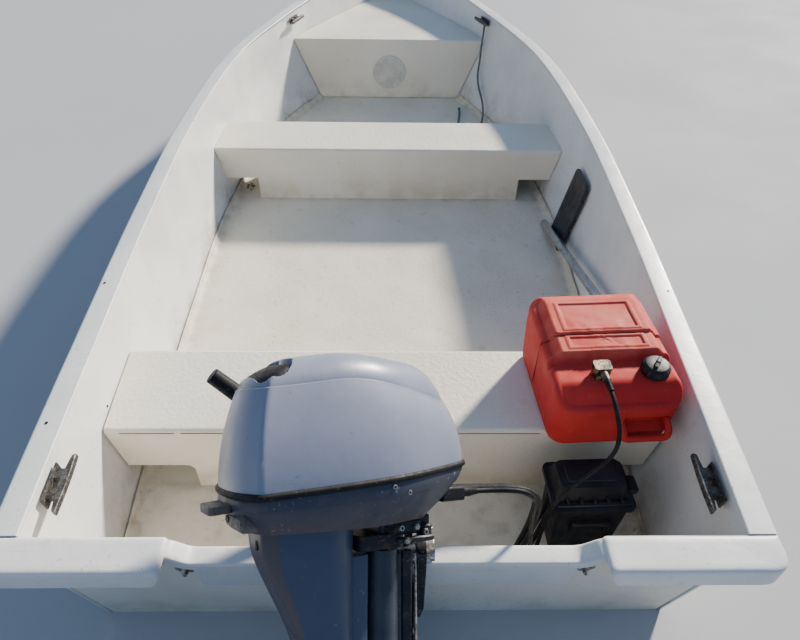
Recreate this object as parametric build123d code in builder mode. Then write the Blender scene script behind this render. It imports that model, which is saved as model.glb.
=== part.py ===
"""Open rowing boat of moulded glass fibre with an outboard motor tilted up on its transom.

Millimetres. X is starboard, Y is forward, Z is up.
The origin lies on the waterline, on the centreline, at half the boat's length.
"""

import os
from math import atan2, cos, degrees, hypot, pi, radians, sin, tan

from build123d import *

os.makedirs("parts", exist_ok=True)

# Clearances
fit = 0.3
cord_gap = 1.0

# Hull
half_length = 2075
drawn_half_length = 2075
skin = 6
rail_width = 55
rail_lip = 50
rail_thickness = 5
rail_edge_radius = 4
stern_height = 390
bow_station_y = half_length - 115
stem_top_y = half_length - 23
rake = radians(8)

# Sections of the hull from stern to bow
section_columns = ("y", "gunwale", "sheer", "knuckle", "knuckle_z", "chine", "chine_z", "keel_z")
section_rows = [
    (-2110, 727, 388, 661, 240, 613, -30, -130),
    (-1800, 749, 393, 685, 240, 638, -31, -133),
    (-1510, 767, 397, 706, 240, 658, -32, -135),
    (-900, 798, 409, 736, 240, 682, -32, -138),
    (-280, 808, 423, 745, 243, 682, -30, -138),
    (430, 752, 443, 684, 262, 596, -18, -132),
    (1020, 578, 465, 518, 325, 388, 12, -112),
    (1400, 428, 479, 352, 370, 234, 70, -62),
    (1720, 262, 491, 187, 412, 100, 160, 30),
    (1960, 106, 501, 49, 455, 24, 318, 200),
]
sections = [dict(zip(section_columns, row)) for row in section_rows]
for row in sections:
    row["y"] *= half_length / drawn_half_length
sections[-1]["y"] = bow_station_y

# Transom
transom_fore_y = 74 - half_length
transom_thickness = 20
cutout_half_width = 372
cutout_depth = 45
motor_pad_thickness = 12
motor_pad_height = 118
transom_cap_half_gap = 376
corner_radius = 30

# Inside of the hull
sole_z = 8
sole_thickness = 6
liner = 6
stern_thwart = dict(aft=transom_fore_y + 358, fore=transom_fore_y + 642, top=240, edge=12, notch=(160, 92), notch_radius=22)
mid_thwart = dict(aft=-160, fore=120, top=243, edge=12, notch=(120, 100), notch_radius=4)
bench_face_y = bow_station_y - 974
bench_top_z = 329
bench_edge = 10
plate_radius = 92
plate_z = 152
plate_lid_radius = 76
plate_thickness = 5

# Cleats on the inner faces of the sides
cleat_length = 140
cleat_width = 15
cleat_standoff = 30
cleat_drop = 42
cleat_gap = 0.95

# Motor, in its own frame: x across, y forward, z up the steering axis
tilt_x = -9
tilt_y = transom_fore_y - 23.5
tilt_z = 366
tilt_angle = radians(50)
steer_angle = radians(60)
steer_offset = 64.5
tilt_tube_radius = 14
tilt_tube_length = 196
bracket_thickness = 16
bracket_inner_x = 66
bracket_drop = 290
bracket_reach = 44
screw_drop = 140
swivel_radius = 29
swivel_hub_radius = 19.5
swivel_top = 24
swivel_bottom = -285
spindle_radius = 12.7
yoke_plate = 24
yoke_rise = 6
leg_front = -64
leg_front_low = -60
cavitation_z = -505
propeller_z = -655
skeg_z = -805
cowl_seal_z = 153
cowl_seal_slope = radians(5)
seal_middle = -72
seal_height = 10
cowl_floor_z = 80
leg_top = cowl_floor_z - fit
cowl_rear = 284
cowl_front = 139
cowl_half_width = 136
cowl_shoulder = 155
cowl_crown = 46
cowl_wall = 4
engine_length = 220
engine_width = 140
engine_height = 200
corner_share = 0.34
tiller_x = -158
tiller_half = 19
tiller_pivot = (118, 64)
tiller_end = (-267, 325)
grip_length = 118
bullet_nose = 50
bullet_end = -176
propeller_radius = 117
propeller_blades = 3

# Gear carried in the boat
tank_length = 336
tank_width = 300
tank_height = 206
tank_deck = tank_height - 34
tank_centre = (522, stern_thwart["aft"] + 123)
tank_turn = 3.5
battery_width = 166
battery_brim = 14
battery_depth = 128
battery_height = 176
battery_lid_height = 46
battery_centre = (474, transom_fore_y + 233)
battery_turn = 2.0
hose_diameter = 10
cable_diameter = 12
rope_diameter = 12
pole_radius = 15
board_width = 160
board_height = 300
board_thickness = 8


def section_at(y):
    """Section of the hull at y, on the cubic curve through its neighbours in the table."""
    index = max(number for number, row in enumerate(sections[:-1]) if row["y"] <= y)
    before = sections[max(index - 1, 0)]
    low = sections[index]
    high = sections[index + 1]
    after = sections[min(index + 2, len(sections) - 1)]
    span = high["y"] - low["y"]
    t = (y - low["y"]) / span
    result = {}
    for key in section_columns:
        slope_low = (high[key] - before[key]) / (high["y"] - before["y"])
        slope_high = (after[key] - low[key]) / (after["y"] - low["y"])
        result[key] = (
            (2 * t**3 - 3 * t**2 + 1) * low[key]
            + (t**3 - 2 * t**2 + t) * span * slope_low
            + (3 * t**2 - 2 * t**3) * high[key]
            + (t**3 - t**2) * span * slope_high
        )
    return result


def half_section(row, inset, top):
    """Keel, chine, knuckle and side points, moved square to the skin by inset, up to the height top."""
    corners = [
        (0.0, row["keel_z"]),
        (row["chine"], row["chine_z"]),
        (row["knuckle"], row["knuckle_z"]),
        (row["gunwale"] - rail_width + skin, row["sheer"]),
    ]
    lines = []
    for (x1, z1), (x2, z2) in zip(corners, corners[1:]):
        length = hypot(x2 - x1, z2 - z1)
        across, upward = (x2 - x1) / length, (z2 - z1) / length
        lines.append((x1 - inset * upward, z1 + inset * across, across, upward))
    moved = []
    first = lines[0]
    moved.append((0.0, first[1] - first[0] * first[3] / first[2]))
    for one, two in zip(lines, lines[1:]):
        # Meeting point of two moved lines, from the cross product of their directions
        cross = one[2] * two[3] - one[3] * two[2]
        reach = ((two[0] - one[0]) * two[3] - (two[1] - one[1]) * two[2]) / cross
        moved.append((one[0] + reach * one[2], one[1] + reach * one[3]))
    last = lines[-1]
    moved.append((last[0] + (top - last[1]) * last[2] / last[3], top))
    return moved


def side_x(y, z):
    """Half breadth of the inner face of the hull's side."""
    row = section_at(y)
    corners = half_section(row, skin, row["sheer"])
    for (x1, z1), (x2, z2) in zip(corners[1:], corners[2:]):
        if z <= z2:
            break
    return x1 + (z - z1) / (z2 - z1) * (x2 - x1)


def hull_outline(row, inset, top):
    """Closed outline of a section from the keel round both sides."""
    half = half_section(row, inset, top)
    return half + [(-x, z) for x, z in reversed(half[1:])]


def hull_volume(inset, lift):
    """Closed solid between the keel and a lid at the sheer plus lift."""
    with BuildPart() as volume:
        for row in sections:
            with BuildSketch(Plane.XZ.offset(-row["y"])):
                with BuildLine():
                    Polyline(*hull_outline(row, inset, row["sheer"] + lift), close=True)
                make_face()
        loft()
    return volume.part


def finish(piece, label):
    """Name a finished piece and write its file."""
    piece.part.label = label
    export_step(piece.part, f"parts/{label}.step")


transom_face = Plane(
    origin=(0, transom_fore_y, stern_height - cutout_depth),
    x_dir=(1, 0, 0),
    z_dir=(0, -cos(rake), -sin(rake)),
)
transom_back = transom_face.offset(transom_thickness)

inside_open = hull_volume(skin, 120)
inside_fit = hull_volume(skin + fit, 120)

# Hull shell
with BuildPart() as hull_shell:
    add(hull_volume(0, -rail_thickness - 2 * fit))
    add(inside_open, mode=Mode.SUBTRACT)
    split(bisect_by=transom_back, keep=Keep.BOTTOM)
finish(hull_shell, "hull_shell")

# Keel batten along the bottom
keel_depth = 22
keel_half_width = 16
keel_ends = (transom_fore_y + 121, bench_face_y + 14)
with BuildPart() as keel_batten:
    for y in keel_ends:
        row = section_at(y)
        with BuildSketch(Plane.XZ.offset(-y)):
            with BuildLine():
                Polyline(
                    (-keel_half_width, row["keel_z"] - 4),
                    (keel_half_width, row["keel_z"] - 4),
                    (keel_half_width * 0.6, row["keel_z"] - keel_depth),
                    (-keel_half_width * 0.6, row["keel_z"] - keel_depth),
                    close=True,
                )
            make_face()
    loft(ruled=True)
    add(hull_volume(-fit, 0), mode=Mode.SUBTRACT)
finish(keel_batten, "keel_batten")

# Stem, a solid moulding from the last section to the point of the bow
stem_foot_z = 412
stem_half_width = 10
stem_head_z = sections[-1]["sheer"] - rail_thickness - fit
with BuildPart() as stem:
    bow = sections[-1]
    with BuildSketch(Plane.XZ.offset(-bow["y"] - fit)):
        with BuildLine():
            Polyline(*hull_outline(bow, 0, stem_head_z), close=True)
        make_face()
    with BuildSketch(Plane.XZ.offset(-stem_top_y)):
        with BuildLine():
            Polyline(
                (0, stem_foot_z),
                (stem_half_width, stem_foot_z + 20),
                (stem_half_width + 2, stem_foot_z + 50),
                (stem_half_width + 4, stem_head_z),
                (-stem_half_width - 4, stem_head_z),
                (-stem_half_width - 2, stem_foot_z + 50),
                (-stem_half_width, stem_foot_z + 20),
                close=True,
            )
        make_face()
    loft(ruled=True)
finish(stem, "stem")

# Gunwales: a flat top with an outer lip turned down
for side, label in ((-1, "gunwale_port"), (1, "gunwale_starboard")):
    rows = [section_at(transom_fore_y + fit)] + [row for row in sections if row["y"] > transom_fore_y]
    with BuildPart() as gunwale:
        for row in rows:
            outer = row["gunwale"]
            top = row["sheer"]
            with BuildSketch(Plane.XZ.offset(-row["y"])):
                with BuildLine():
                    Polyline(
                        (side * (outer - rail_width), top),
                        (side * (outer - rail_edge_radius), top),
                        (side * outer, top - rail_edge_radius),
                        (side * outer, top - rail_lip),
                        (side * (outer - rail_thickness), top - rail_lip),
                        (side * (outer - rail_thickness), top - rail_thickness),
                        (side * (outer - rail_width), top - rail_thickness),
                        close=True,
                    )
                make_face()
        loft()
    finish(gunwale, label)

# Cap that joins the gunwales over the stem
with BuildPart() as bow_cap:
    bow = sections[-1]
    cap_start = bow_station_y + fit
    with BuildSketch(Plane.XY.offset(bow["sheer"] - rail_lip)) as cap_plan:
        with BuildLine():
            Line((-bow["gunwale"], cap_start), (bow["gunwale"], cap_start))
            ThreePointArc((bow["gunwale"], cap_start), (52, half_length - 40), (0, half_length))
            ThreePointArc((0, half_length), (-52, half_length - 40), (-bow["gunwale"], cap_start))
        make_face()
    extrude(amount=rail_lip)
    with BuildSketch(Plane.XY.offset(bow["sheer"] - rail_lip)):
        add(cap_plan.sketch)
        offset(amount=-rail_thickness, kind=Kind.INTERSECTION)
        with Locations((0, cap_start)):
            Rectangle(2 * (bow["gunwale"] - rail_thickness), 2 * rail_thickness + 2)
    extrude(amount=rail_lip - rail_thickness, mode=Mode.SUBTRACT)
finish(bow_cap, "bow_cap")

# Transom with the cut-out that the motor hangs in
with BuildPart() as transom:
    with BuildSketch(transom_face) as transom_outline:
        with BuildLine():
            Polyline(
                (-900, -700),
                (900, -700),
                (900, cutout_depth - rail_thickness - fit),
                (cutout_half_width + 30, cutout_depth - rail_thickness - fit),
                (cutout_half_width, 0),
                (-cutout_half_width, 0),
                (-cutout_half_width - 30, cutout_depth - rail_thickness - fit),
                (-900, cutout_depth - rail_thickness - fit),
                close=True,
            )
        make_face()
    extrude(amount=transom_thickness)
    add(inside_fit, mode=Mode.INTERSECT)
finish(transom, "transom")

# Thick board on the back of the transom, under the motor's clamps
with BuildPart() as motor_pad:
    with BuildSketch(transom_back.offset(fit)):
        with Locations((0, -motor_pad_height / 2)):
            RectangleRounded(2 * cutout_half_width - 14, motor_pad_height, 8)
    extrude(amount=motor_pad_thickness)
finish(motor_pad, "motor_pad")

# Caps over the transom on each side of the cut-out
for side, label in ((-1, "transom_cap_port"), (1, "transom_cap_starboard")):
    aft = section_at(-half_length + corner_radius)
    fore = section_at(transom_fore_y)
    with BuildPart() as cap:
        with BuildSketch(Plane.XY.offset(stern_height - rail_lip)) as cap_plan:
            with BuildLine():
                Polyline(
                    (side * transom_cap_half_gap, transom_fore_y),
                    (side * transom_cap_half_gap, -half_length),
                    (side * (aft["gunwale"] - corner_radius), -half_length),
                )
                ThreePointArc(
                    (side * (aft["gunwale"] - corner_radius), -half_length),
                    (side * (aft["gunwale"] - 0.293 * corner_radius), -half_length + 0.293 * corner_radius),
                    (side * aft["gunwale"], -half_length + corner_radius),
                )
                Polyline(
                    (side * aft["gunwale"], -half_length + corner_radius),
                    (side * fore["gunwale"], transom_fore_y),
                    (side * transom_cap_half_gap, transom_fore_y),
                )
            make_face()
        extrude(amount=rail_lip)
        with BuildSketch(Plane.XY.offset(stern_height - rail_lip)):
            add(cap_plan.sketch)
            offset(amount=-rail_thickness, kind=Kind.INTERSECTION)
            with Locations((side * (fore["gunwale"] + transom_cap_half_gap) / 2, transom_fore_y)):
                Rectangle(fore["gunwale"] - transom_cap_half_gap - 2 * rail_thickness, 2 * rail_thickness + 2)
            with Locations((side * transom_cap_half_gap, transom_fore_y - transom_thickness / 2)):
                Rectangle(80, transom_thickness + 16)
        extrude(amount=rail_lip - rail_thickness, mode=Mode.SUBTRACT)
    finish(cap, label)

# Sole of the cockpit
with BuildPart() as cockpit_sole:
    with BuildSketch(Plane.XY.offset(sole_z - sole_thickness)):
        with Locations((0, (bench_face_y + transom_fore_y) / 2)):
            Rectangle(1600, bench_face_y - transom_fore_y + 200)
    extrude(amount=sole_thickness)
    add(inside_fit, mode=Mode.INTERSECT)
    split(bisect_by=transom_face.offset(-fit), keep=Keep.BOTTOM)
    split(bisect_by=Plane.XZ.offset(-bench_face_y + fit), keep=Keep.TOP)
finish(cockpit_sole, "cockpit_sole")


def thwart(size):
    """Moulded box seat from side to side with water ways at its foot."""
    length = size["fore"] - size["aft"]
    height = size["top"] - sole_z - fit
    middle = (size["fore"] + size["aft"]) / 2
    base = sole_z + fit
    with BuildPart() as seat:
        with BuildSketch(Plane.YZ):
            with Locations((middle, base + height / 2)):
                Rectangle(length, height)
            top_corners = [v for v in vertices() if v.Y > base + height / 2]
            fillet(top_corners, size["edge"])
            with Locations((middle, base + (height - liner) / 2)):
                Rectangle(length - 2 * liner, height - liner, mode=Mode.SUBTRACT)
        extrude(amount=900, both=True)
        width, notch_height = size["notch"]
        for face_y in (size["aft"], size["fore"]):
            wall = side_x(face_y, sole_z + notch_height / 2)
            with BuildSketch(Plane.XZ.offset(-face_y)):
                for side in (-1, 1):
                    with Locations((side * (wall - width / 2 + 20), sole_z + notch_height / 2 - 20)):
                        RectangleRounded(width + 40, notch_height + 40, size["notch_radius"])
            extrude(amount=3 * liner, both=True, mode=Mode.SUBTRACT)
        add(inside_fit, mode=Mode.INTERSECT)
    return seat


finish(thwart(stern_thwart), "stern_thwart")
finish(thwart(mid_thwart), "mid_thwart")

# Bow bench: seat top and bulkhead in one moulding, with the hole for the inspection plate
with BuildPart() as bow_bench:
    with BuildSketch(Plane.YZ):
        with BuildLine():
            Polyline(
                (bench_face_y, sole_z - sole_thickness),
                (bench_face_y, bench_top_z),
                (bow_station_y - 10, bench_top_z),
                (bow_station_y - 10, bench_top_z - liner),
                (bench_face_y + liner, bench_top_z - liner),
                (bench_face_y + liner, sole_z - sole_thickness),
                close=True,
            )
        make_face()
        fillet([v for v in vertices() if v.X < bench_face_y + 1 and v.Y > bench_top_z - 1], bench_edge / 2)
    extrude(amount=700, both=True)
    add(inside_fit, mode=Mode.INTERSECT)
    with BuildSketch(Plane.XZ.offset(-bench_face_y)):
        with Locations((0, plate_z)):
            Circle(plate_lid_radius + 2)
    extrude(amount=3 * liner, both=True, mode=Mode.SUBTRACT)
finish(bow_bench, "bow_bench")

# Inspection plate: a ring on the bulkhead and a screw lid in it
plate_plane = Plane(origin=(0, bench_face_y - fit, plate_z), x_dir=(1, 0, 0), z_dir=(0, -1, 0))
with BuildPart() as inspection_ring:
    with BuildSketch(plate_plane):
        Circle(plate_radius)
        Circle(plate_lid_radius + fit, mode=Mode.SUBTRACT)
    extrude(amount=plate_thickness)
    chamfer(edges().filter_by(GeomType.CIRCLE).group_by(Axis.Y)[0].sort_by(SortBy.RADIUS)[-1], 2)
finish(inspection_ring, "inspection_ring")

with BuildPart() as inspection_lid:
    with BuildSketch(plate_plane):
        Circle(plate_lid_radius)
    extrude(amount=plate_thickness + 1)
    with BuildSketch(plate_plane.offset(plate_thickness + 1)):
        with PolarLocations(plate_lid_radius - 14, 3):
            Circle(6)
    extrude(amount=-3, mode=Mode.SUBTRACT)
finish(inspection_lid, "inspection_lid")


def cleat_frame(side, y):
    """Plane of a cleat: x forward along the side, y inward from it."""
    z = section_at(y)["sheer"] - cleat_drop
    along = Vector(side * (side_x(y + 50, z) - side_x(y - 50, z)), 100, 0).normalized()
    upward = Vector(side * (side_x(y, z + 20) - side_x(y, z - 20)), 0, 40).normalized()
    inward = upward.cross(along) * side
    return Plane(origin=(side * side_x(y, z), y, z), x_dir=along, z_dir=along.cross(inward))


def cleat(side, y):
    """Horn cleat with two feet on the inner face of the side."""
    frame = cleat_frame(side, y)
    with BuildPart() as piece:
        with BuildSketch(frame):
            with BuildLine():
                Polyline(
                    (-cleat_length / 2, cleat_standoff + 4),
                    (-cleat_length / 2 + 4, cleat_standoff - 4),
                    (-34, cleat_standoff - 8),
                    (-34, cleat_gap),
                    (-12, cleat_gap),
                    (-12, cleat_standoff - 10),
                    (12, cleat_standoff - 10),
                    (12, cleat_gap),
                    (34, cleat_gap),
                    (34, cleat_standoff - 8),
                    (cleat_length / 2 - 4, cleat_standoff - 4),
                    (cleat_length / 2, cleat_standoff + 4),
                    (24, cleat_standoff + 6),
                    (-24, cleat_standoff + 6),
                    close=True,
                )
            make_face()
        extrude(amount=cleat_width / 2, both=True)
        fillet(edges().filter_by(lambda e: e.length > 40), 3)
        with BuildSketch(frame.offset(-cleat_width)):
            with Locations((0, cleat_gap + 2)):
                Rectangle(92, 4)
        extrude(amount=2 * cleat_width)
    return piece


cleat_places = {
    "cleat_stern_port": (-1, transom_fore_y + 133),
    "cleat_stern_starboard": (1, transom_fore_y + 133),
    "cleat_bow_port": (-1, bench_face_y + 24),
    "cleat_bow_starboard": (1, bench_face_y + 24),
}
for label, (side, y) in cleat_places.items():
    finish(cleat(side, y), label)


def eye(plane, ring_radius, wire, base_radius):
    """Round foot with a half ring standing on it."""
    with BuildPart() as piece:
        with BuildSketch(plane):
            Circle(base_radius)
        extrude(amount=4)
        with BuildSketch(Plane(origin=plane.from_local_coords((ring_radius, 0, 2)), x_dir=plane.x_dir, z_dir=plane.z_dir)):
            Circle(wire)
        revolve(axis=Axis(plane.from_local_coords((0, 0, 2)), plane.y_dir), revolution_arc=-180)
    return piece


# Towing eye on the stem and lashing eyes on the transom
stern_eye_x = 346
stern_eye_z = 300
for side, label in ((-1, "stern_eye_port"), (1, "stern_eye_starboard")):
    along = (stern_eye_z - transom_face.origin.Z) / cos(rake)
    spot = transom_back.from_local_coords((side * (cutout_half_width + 14), along, fit))
    plane = Plane(origin=spot, x_dir=(0, -sin(rake), cos(rake)), z_dir=transom_back.z_dir)
    finish(eye(plane, 13, 3.5, 20), label)

bow_eye_y = bow_station_y - 60
with BuildPart() as bow_eye:
    bow_row = section_at(bow_eye_y)
    with BuildSketch(Plane.YZ):
        with Locations((bow_eye_y + 6, bow_row["keel_z"] - 14)):
            Circle(22)
            Circle(14, mode=Mode.SUBTRACT)
    extrude(amount=4, both=True)
    add(hull_volume(-fit, 0), mode=Mode.SUBTRACT)
finish(bow_eye, "bow_eye")

# Drain plug low in the transom
with BuildPart() as drain_plug:
    with BuildSketch(transom_back.offset(fit)):
        with Locations((-230, -(stern_height - cutout_depth - 52) / cos(rake))):
            Circle(17)
    extrude(amount=5)
    with BuildSketch(transom_back.offset(fit + 5)):
        with Locations((-230, -(stern_height - cutout_depth - 52) / cos(rake))):
            Rectangle(20, 6)
    extrude(amount=6)
finish(drain_plug, "drain_plug")

# Frames of the motor: upright, tilted, and tilted and steered
tilt_origin = (tilt_x, tilt_y, tilt_z)
upright = Plane(origin=tilt_origin)
tilted = Plane(origin=tilt_origin, x_dir=(1, 0, 0), z_dir=(0, sin(tilt_angle), cos(tilt_angle)))
steer_origin = tilted.from_local_coords((0, -steer_offset, 0))
steer_x = tilted.from_local_coords((cos(steer_angle), -sin(steer_angle), 0)) - Vector(*tilt_origin)
motor = Plane(origin=steer_origin, x_dir=steer_x, z_dir=tilted.z_dir)


def side_view(frame, x):
    """Plane of a side view of a frame: sketch x is forward and sketch y is up."""
    origin = frame.from_local_coords((x, 0, 0))
    return Plane(origin=origin, x_dir=frame.y_dir, z_dir=frame.x_dir)


# Clamp brackets hooked over the transom
board_top = stern_height - cutout_depth - tilt_z
board_fore = transom_fore_y - tilt_y + fit
board_back = transom_fore_y - (transom_thickness + motor_pad_thickness + 2 * fit) / cos(rake) - fit - tilt_y
for side, label in ((-1, "clamp_bracket_port"), (1, "clamp_bracket_starboard")):
    with BuildPart() as bracket:
        with BuildSketch(side_view(upright, side * (bracket_inner_x + bracket_thickness / 2))):
            with BuildLine():
                Polyline(
                    (-24, 8),
                    (-14, 22),
                    (14, 22),
                    (board_fore + 14, -2),
                    (board_fore + 26, -14),
                    (board_fore + bracket_reach, -150),
                    (board_fore + 32, -164),
                    (board_fore + 20, -150),
                    (board_fore + 8, -40),
                    (board_fore, board_top + fit),
                    (board_back, board_top + fit),
                    (board_back + motor_pad_height * tan(rake), board_top - motor_pad_height),
                    (board_back + bracket_drop * tan(rake), board_top - bracket_drop),
                    (board_back + bracket_drop * tan(rake) - 16, board_top - bracket_drop - 4),
                    (board_back - 28, -150),
                    close=True,
                )
            make_face()
            Circle(tilt_tube_radius + fit, mode=Mode.SUBTRACT)
        extrude(amount=bracket_thickness / 2, both=True)
    finish(bracket, label)

# Clamp screws: spindle ends and cross handles on the fore side of the brackets
for side, label in ((-1, "clamp_screw_port"), (1, "clamp_screw_starboard")):
    screw_x = side * (bracket_inner_x + bracket_thickness / 2)
    line = Plane(
        origin=upright.from_local_coords((screw_x, board_fore + bracket_reach + fit, -screw_drop)),
        x_dir=(1, 0, 0),
        z_dir=(0, 1, 0),
    )
    with BuildPart() as screw:
        with BuildSketch(line):
            Circle(9)
        extrude(amount=26)
        with BuildSketch(line.offset(24)):
            RectangleRounded(76, 15, 6)
        extrude(amount=9)
    finish(screw, label)

# Tube that the motor tilts on
tube_plane = Plane(
    origin=upright.from_local_coords((-tilt_tube_length / 2, 0, 0)),
    x_dir=(0, 1, 0),
    z_dir=(1, 0, 0),
)
with BuildPart() as tilt_tube:
    with BuildSketch(tube_plane):
        Circle(tilt_tube_radius)
        Circle(tilt_tube_radius - 4, mode=Mode.SUBTRACT)
    extrude(amount=tilt_tube_length)
finish(tilt_tube, "tilt_tube")

# Swivel bracket: hub on the tilt tube, two webs and the long steering bearing
hub_half = bracket_inner_x - 1.5
hub_plane = side_view(tilted, -hub_half)
with BuildPart() as swivel_bracket:
    with BuildSketch(hub_plane):
        Circle(swivel_hub_radius)
    extrude(amount=2 * hub_half)
    with BuildSketch(tilted.offset(swivel_bottom)):
        with Locations((0, -steer_offset)):
            Circle(swivel_radius)
    extrude(amount=swivel_top - swivel_bottom)
    for x in (-30, 30):
        with BuildSketch(side_view(tilted, x)):
            with BuildLine():
                Polyline(
                    (-6, 18),
                    (6, 0),
                    (-15, -13),
                    (-44, -150),
                    (-steer_offset + 4, -230),
                    (-steer_offset + 4, 12),
                    close=True,
                )
            make_face()
        extrude(amount=5, both=True)
    with BuildSketch(hub_plane):
        Circle(tilt_tube_radius + fit)
    extrude(amount=2 * hub_half, mode=Mode.SUBTRACT)
    with BuildSketch(tilted.offset(swivel_bottom)):
        with Locations((0, -steer_offset)):
            Circle(13)
    extrude(amount=swivel_top - swivel_bottom, mode=Mode.SUBTRACT)
finish(swivel_bracket, "swivel_bracket")

# Steering yokes: spindle in the bearing, a plate above it and one below
yoke_drop = 34
with BuildPart() as steering_yokes:
    with BuildSketch(motor.offset(swivel_bottom - yoke_drop)):
        Circle(spindle_radius)
    extrude(amount=swivel_top + yoke_rise - swivel_bottom + yoke_drop + yoke_plate)
    with BuildSketch(motor.offset(swivel_top + yoke_rise)):
        with Locations((0, (leg_front + fit + 26) / 2)):
            RectangleRounded(84, 26 - leg_front - fit, 16)
    extrude(amount=yoke_plate)
    with BuildSketch(motor.offset(swivel_bottom - yoke_drop)):
        with Locations((0, (leg_front_low + fit + 22) / 2)):
            RectangleRounded(72, 22 - leg_front_low - fit, 14)
    extrude(amount=yoke_drop - yoke_rise)
finish(steering_yokes, "steering_yokes")

# Arm from the upper yoke to the foot of the tiller
with BuildPart() as tiller_bracket:
    with BuildSketch(motor.offset(swivel_top + yoke_rise + yoke_plate + fit)):
        with BuildLine():
            Polyline(
                (-40, -20),
                (34, -20),
                (34, 24),
                (tiller_x + 62, tiller_pivot[0] + 18),
                (tiller_x + tiller_half + fit, tiller_pivot[0] + 18),
                (tiller_x + tiller_half + fit, tiller_pivot[0] - 22),
                (-60, 30),
                close=True,
            )
        make_face()
        fillet(vertices(), 8)
    extrude(amount=18)
finish(tiller_bracket, "tiller_bracket")

# Tiller folded up beside the cowl
fold = atan2(tiller_end[1] - tiller_pivot[1], tiller_pivot[0] - tiller_end[0])
tiller_length = hypot(tiller_end[1] - tiller_pivot[1], tiller_pivot[0] - tiller_end[0])
tiller_dir = motor.from_local_coords((0, -cos(fold), sin(fold))) - motor.origin
tiller_foot = motor.from_local_coords((tiller_x, tiller_pivot[0], tiller_pivot[1]))
tiller_plane = Plane(origin=tiller_foot, x_dir=motor.x_dir, z_dir=tiller_dir)
arm_length = tiller_length - grip_length
with BuildPart() as tiller_arm:
    with BuildSketch(side_view(motor, tiller_x + tiller_half)):
        with Locations(tiller_pivot):
            Circle(21)
    extrude(amount=-2 * tiller_half)
    with BuildSketch(tiller_plane):
        RectangleRounded(34, 40, 10)
    with BuildSketch(tiller_plane.offset(arm_length * 0.5)):
        RectangleRounded(30, 32, 10)
    with BuildSketch(tiller_plane.offset(arm_length - 22)):
        RectangleRounded(28, 28, 10)
    loft()
    with BuildSketch(tiller_plane.offset(arm_length - 22)):
        Circle(16.5)
    extrude(amount=22 - fit)
finish(tiller_arm, "tiller_arm")

with BuildPart() as throttle_grip:
    with BuildSketch(tiller_plane.offset(arm_length)):
        Circle(17)
    with BuildSketch(tiller_plane.offset(tiller_length)):
        Circle(15)
    loft(ruled=True)
    chamfer(edges().filter_by(GeomType.CIRCLE), 1.5)
finish(throttle_grip, "throttle_grip")

# Leg: drive shaft housing, wide at the top and slim below
leg_columns = ("height", "fore", "aft", "half")
leg_rows = [
    (leg_top, leg_front, -232, 50),
    (30, leg_front, -222, 47),
    (-130, -62, -150, 38),
    (-330, leg_front_low, -146, 30),
    (cavitation_z + 8 + fit, -52, -168, 30),
]
with BuildPart() as leg:
    for height, fore, aft, half in leg_rows:
        with BuildSketch(motor.offset(height)):
            with Locations((0, (fore + aft) / 2)):
                RectangleRounded(2 * half, fore - aft, 0.6 * half)
    loft()
finish(leg, "leg")

# Gearcase: plate over the propeller, strut, bullet and skeg
with BuildPart() as gearcase:
    with BuildSketch(motor.offset(cavitation_z)):
        with BuildLine():
            Polyline(
                (0, -20),
                (34, -50),
                (62, -120),
                (70, -262),
                (40, -300),
                (-40, -300),
                (-70, -262),
                (-62, -120),
                (-34, -50),
                close=True,
            )
        make_face()
        fillet(vertices(), 12)
    extrude(amount=8)
    strut_rows = [
        (cavitation_z + 1, -40, -180, 26),
        (propeller_z + 60, -36, -166, 22),
        (propeller_z, -30, -160, 24),
    ]
    for height, fore, aft, half in strut_rows:
        with BuildSketch(motor.offset(height)):
            with Locations((0, (fore + aft) / 2)):
                RectangleRounded(2 * half, fore - aft, 0.7 * half)
    loft()
    with BuildSketch(side_view(motor, 0)):
        with BuildLine():
            Polyline(
                (bullet_nose, propeller_z),
                (bullet_end, propeller_z),
                (bullet_end, propeller_z + 34),
                (-60, propeller_z + 40),
                (-12, propeller_z + 38),
                (18, propeller_z + 31),
                (40, propeller_z + 19),
                (bullet_nose, propeller_z + 7),
                close=True,
            )
        make_face()
    revolve(axis=Axis(motor.from_local_coords((0, 0, propeller_z)), motor.y_dir))
    with BuildSketch(side_view(motor, 0)):
        with BuildLine():
            Polyline(
                (-14, propeller_z - 20),
                (-160, propeller_z - 20),
                (-172, skeg_z + 20),
                (-150, skeg_z),
                (-96, skeg_z + 12),
                close=True,
            )
        make_face()
    extrude(amount=5, both=True)
finish(gearcase, "gearcase")

# Trim tab under the plate
with BuildPart() as trim_tab:
    with BuildSketch(side_view(motor, 0)):
        with BuildLine():
            Polyline(
                (-206, cavitation_z - fit),
                (-286, cavitation_z - fit),
                (-294, cavitation_z - 24),
                (-244, cavitation_z - 26),
                close=True,
            )
        make_face()
    extrude(amount=5, both=True)
finish(trim_tab, "trim_tab")

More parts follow.
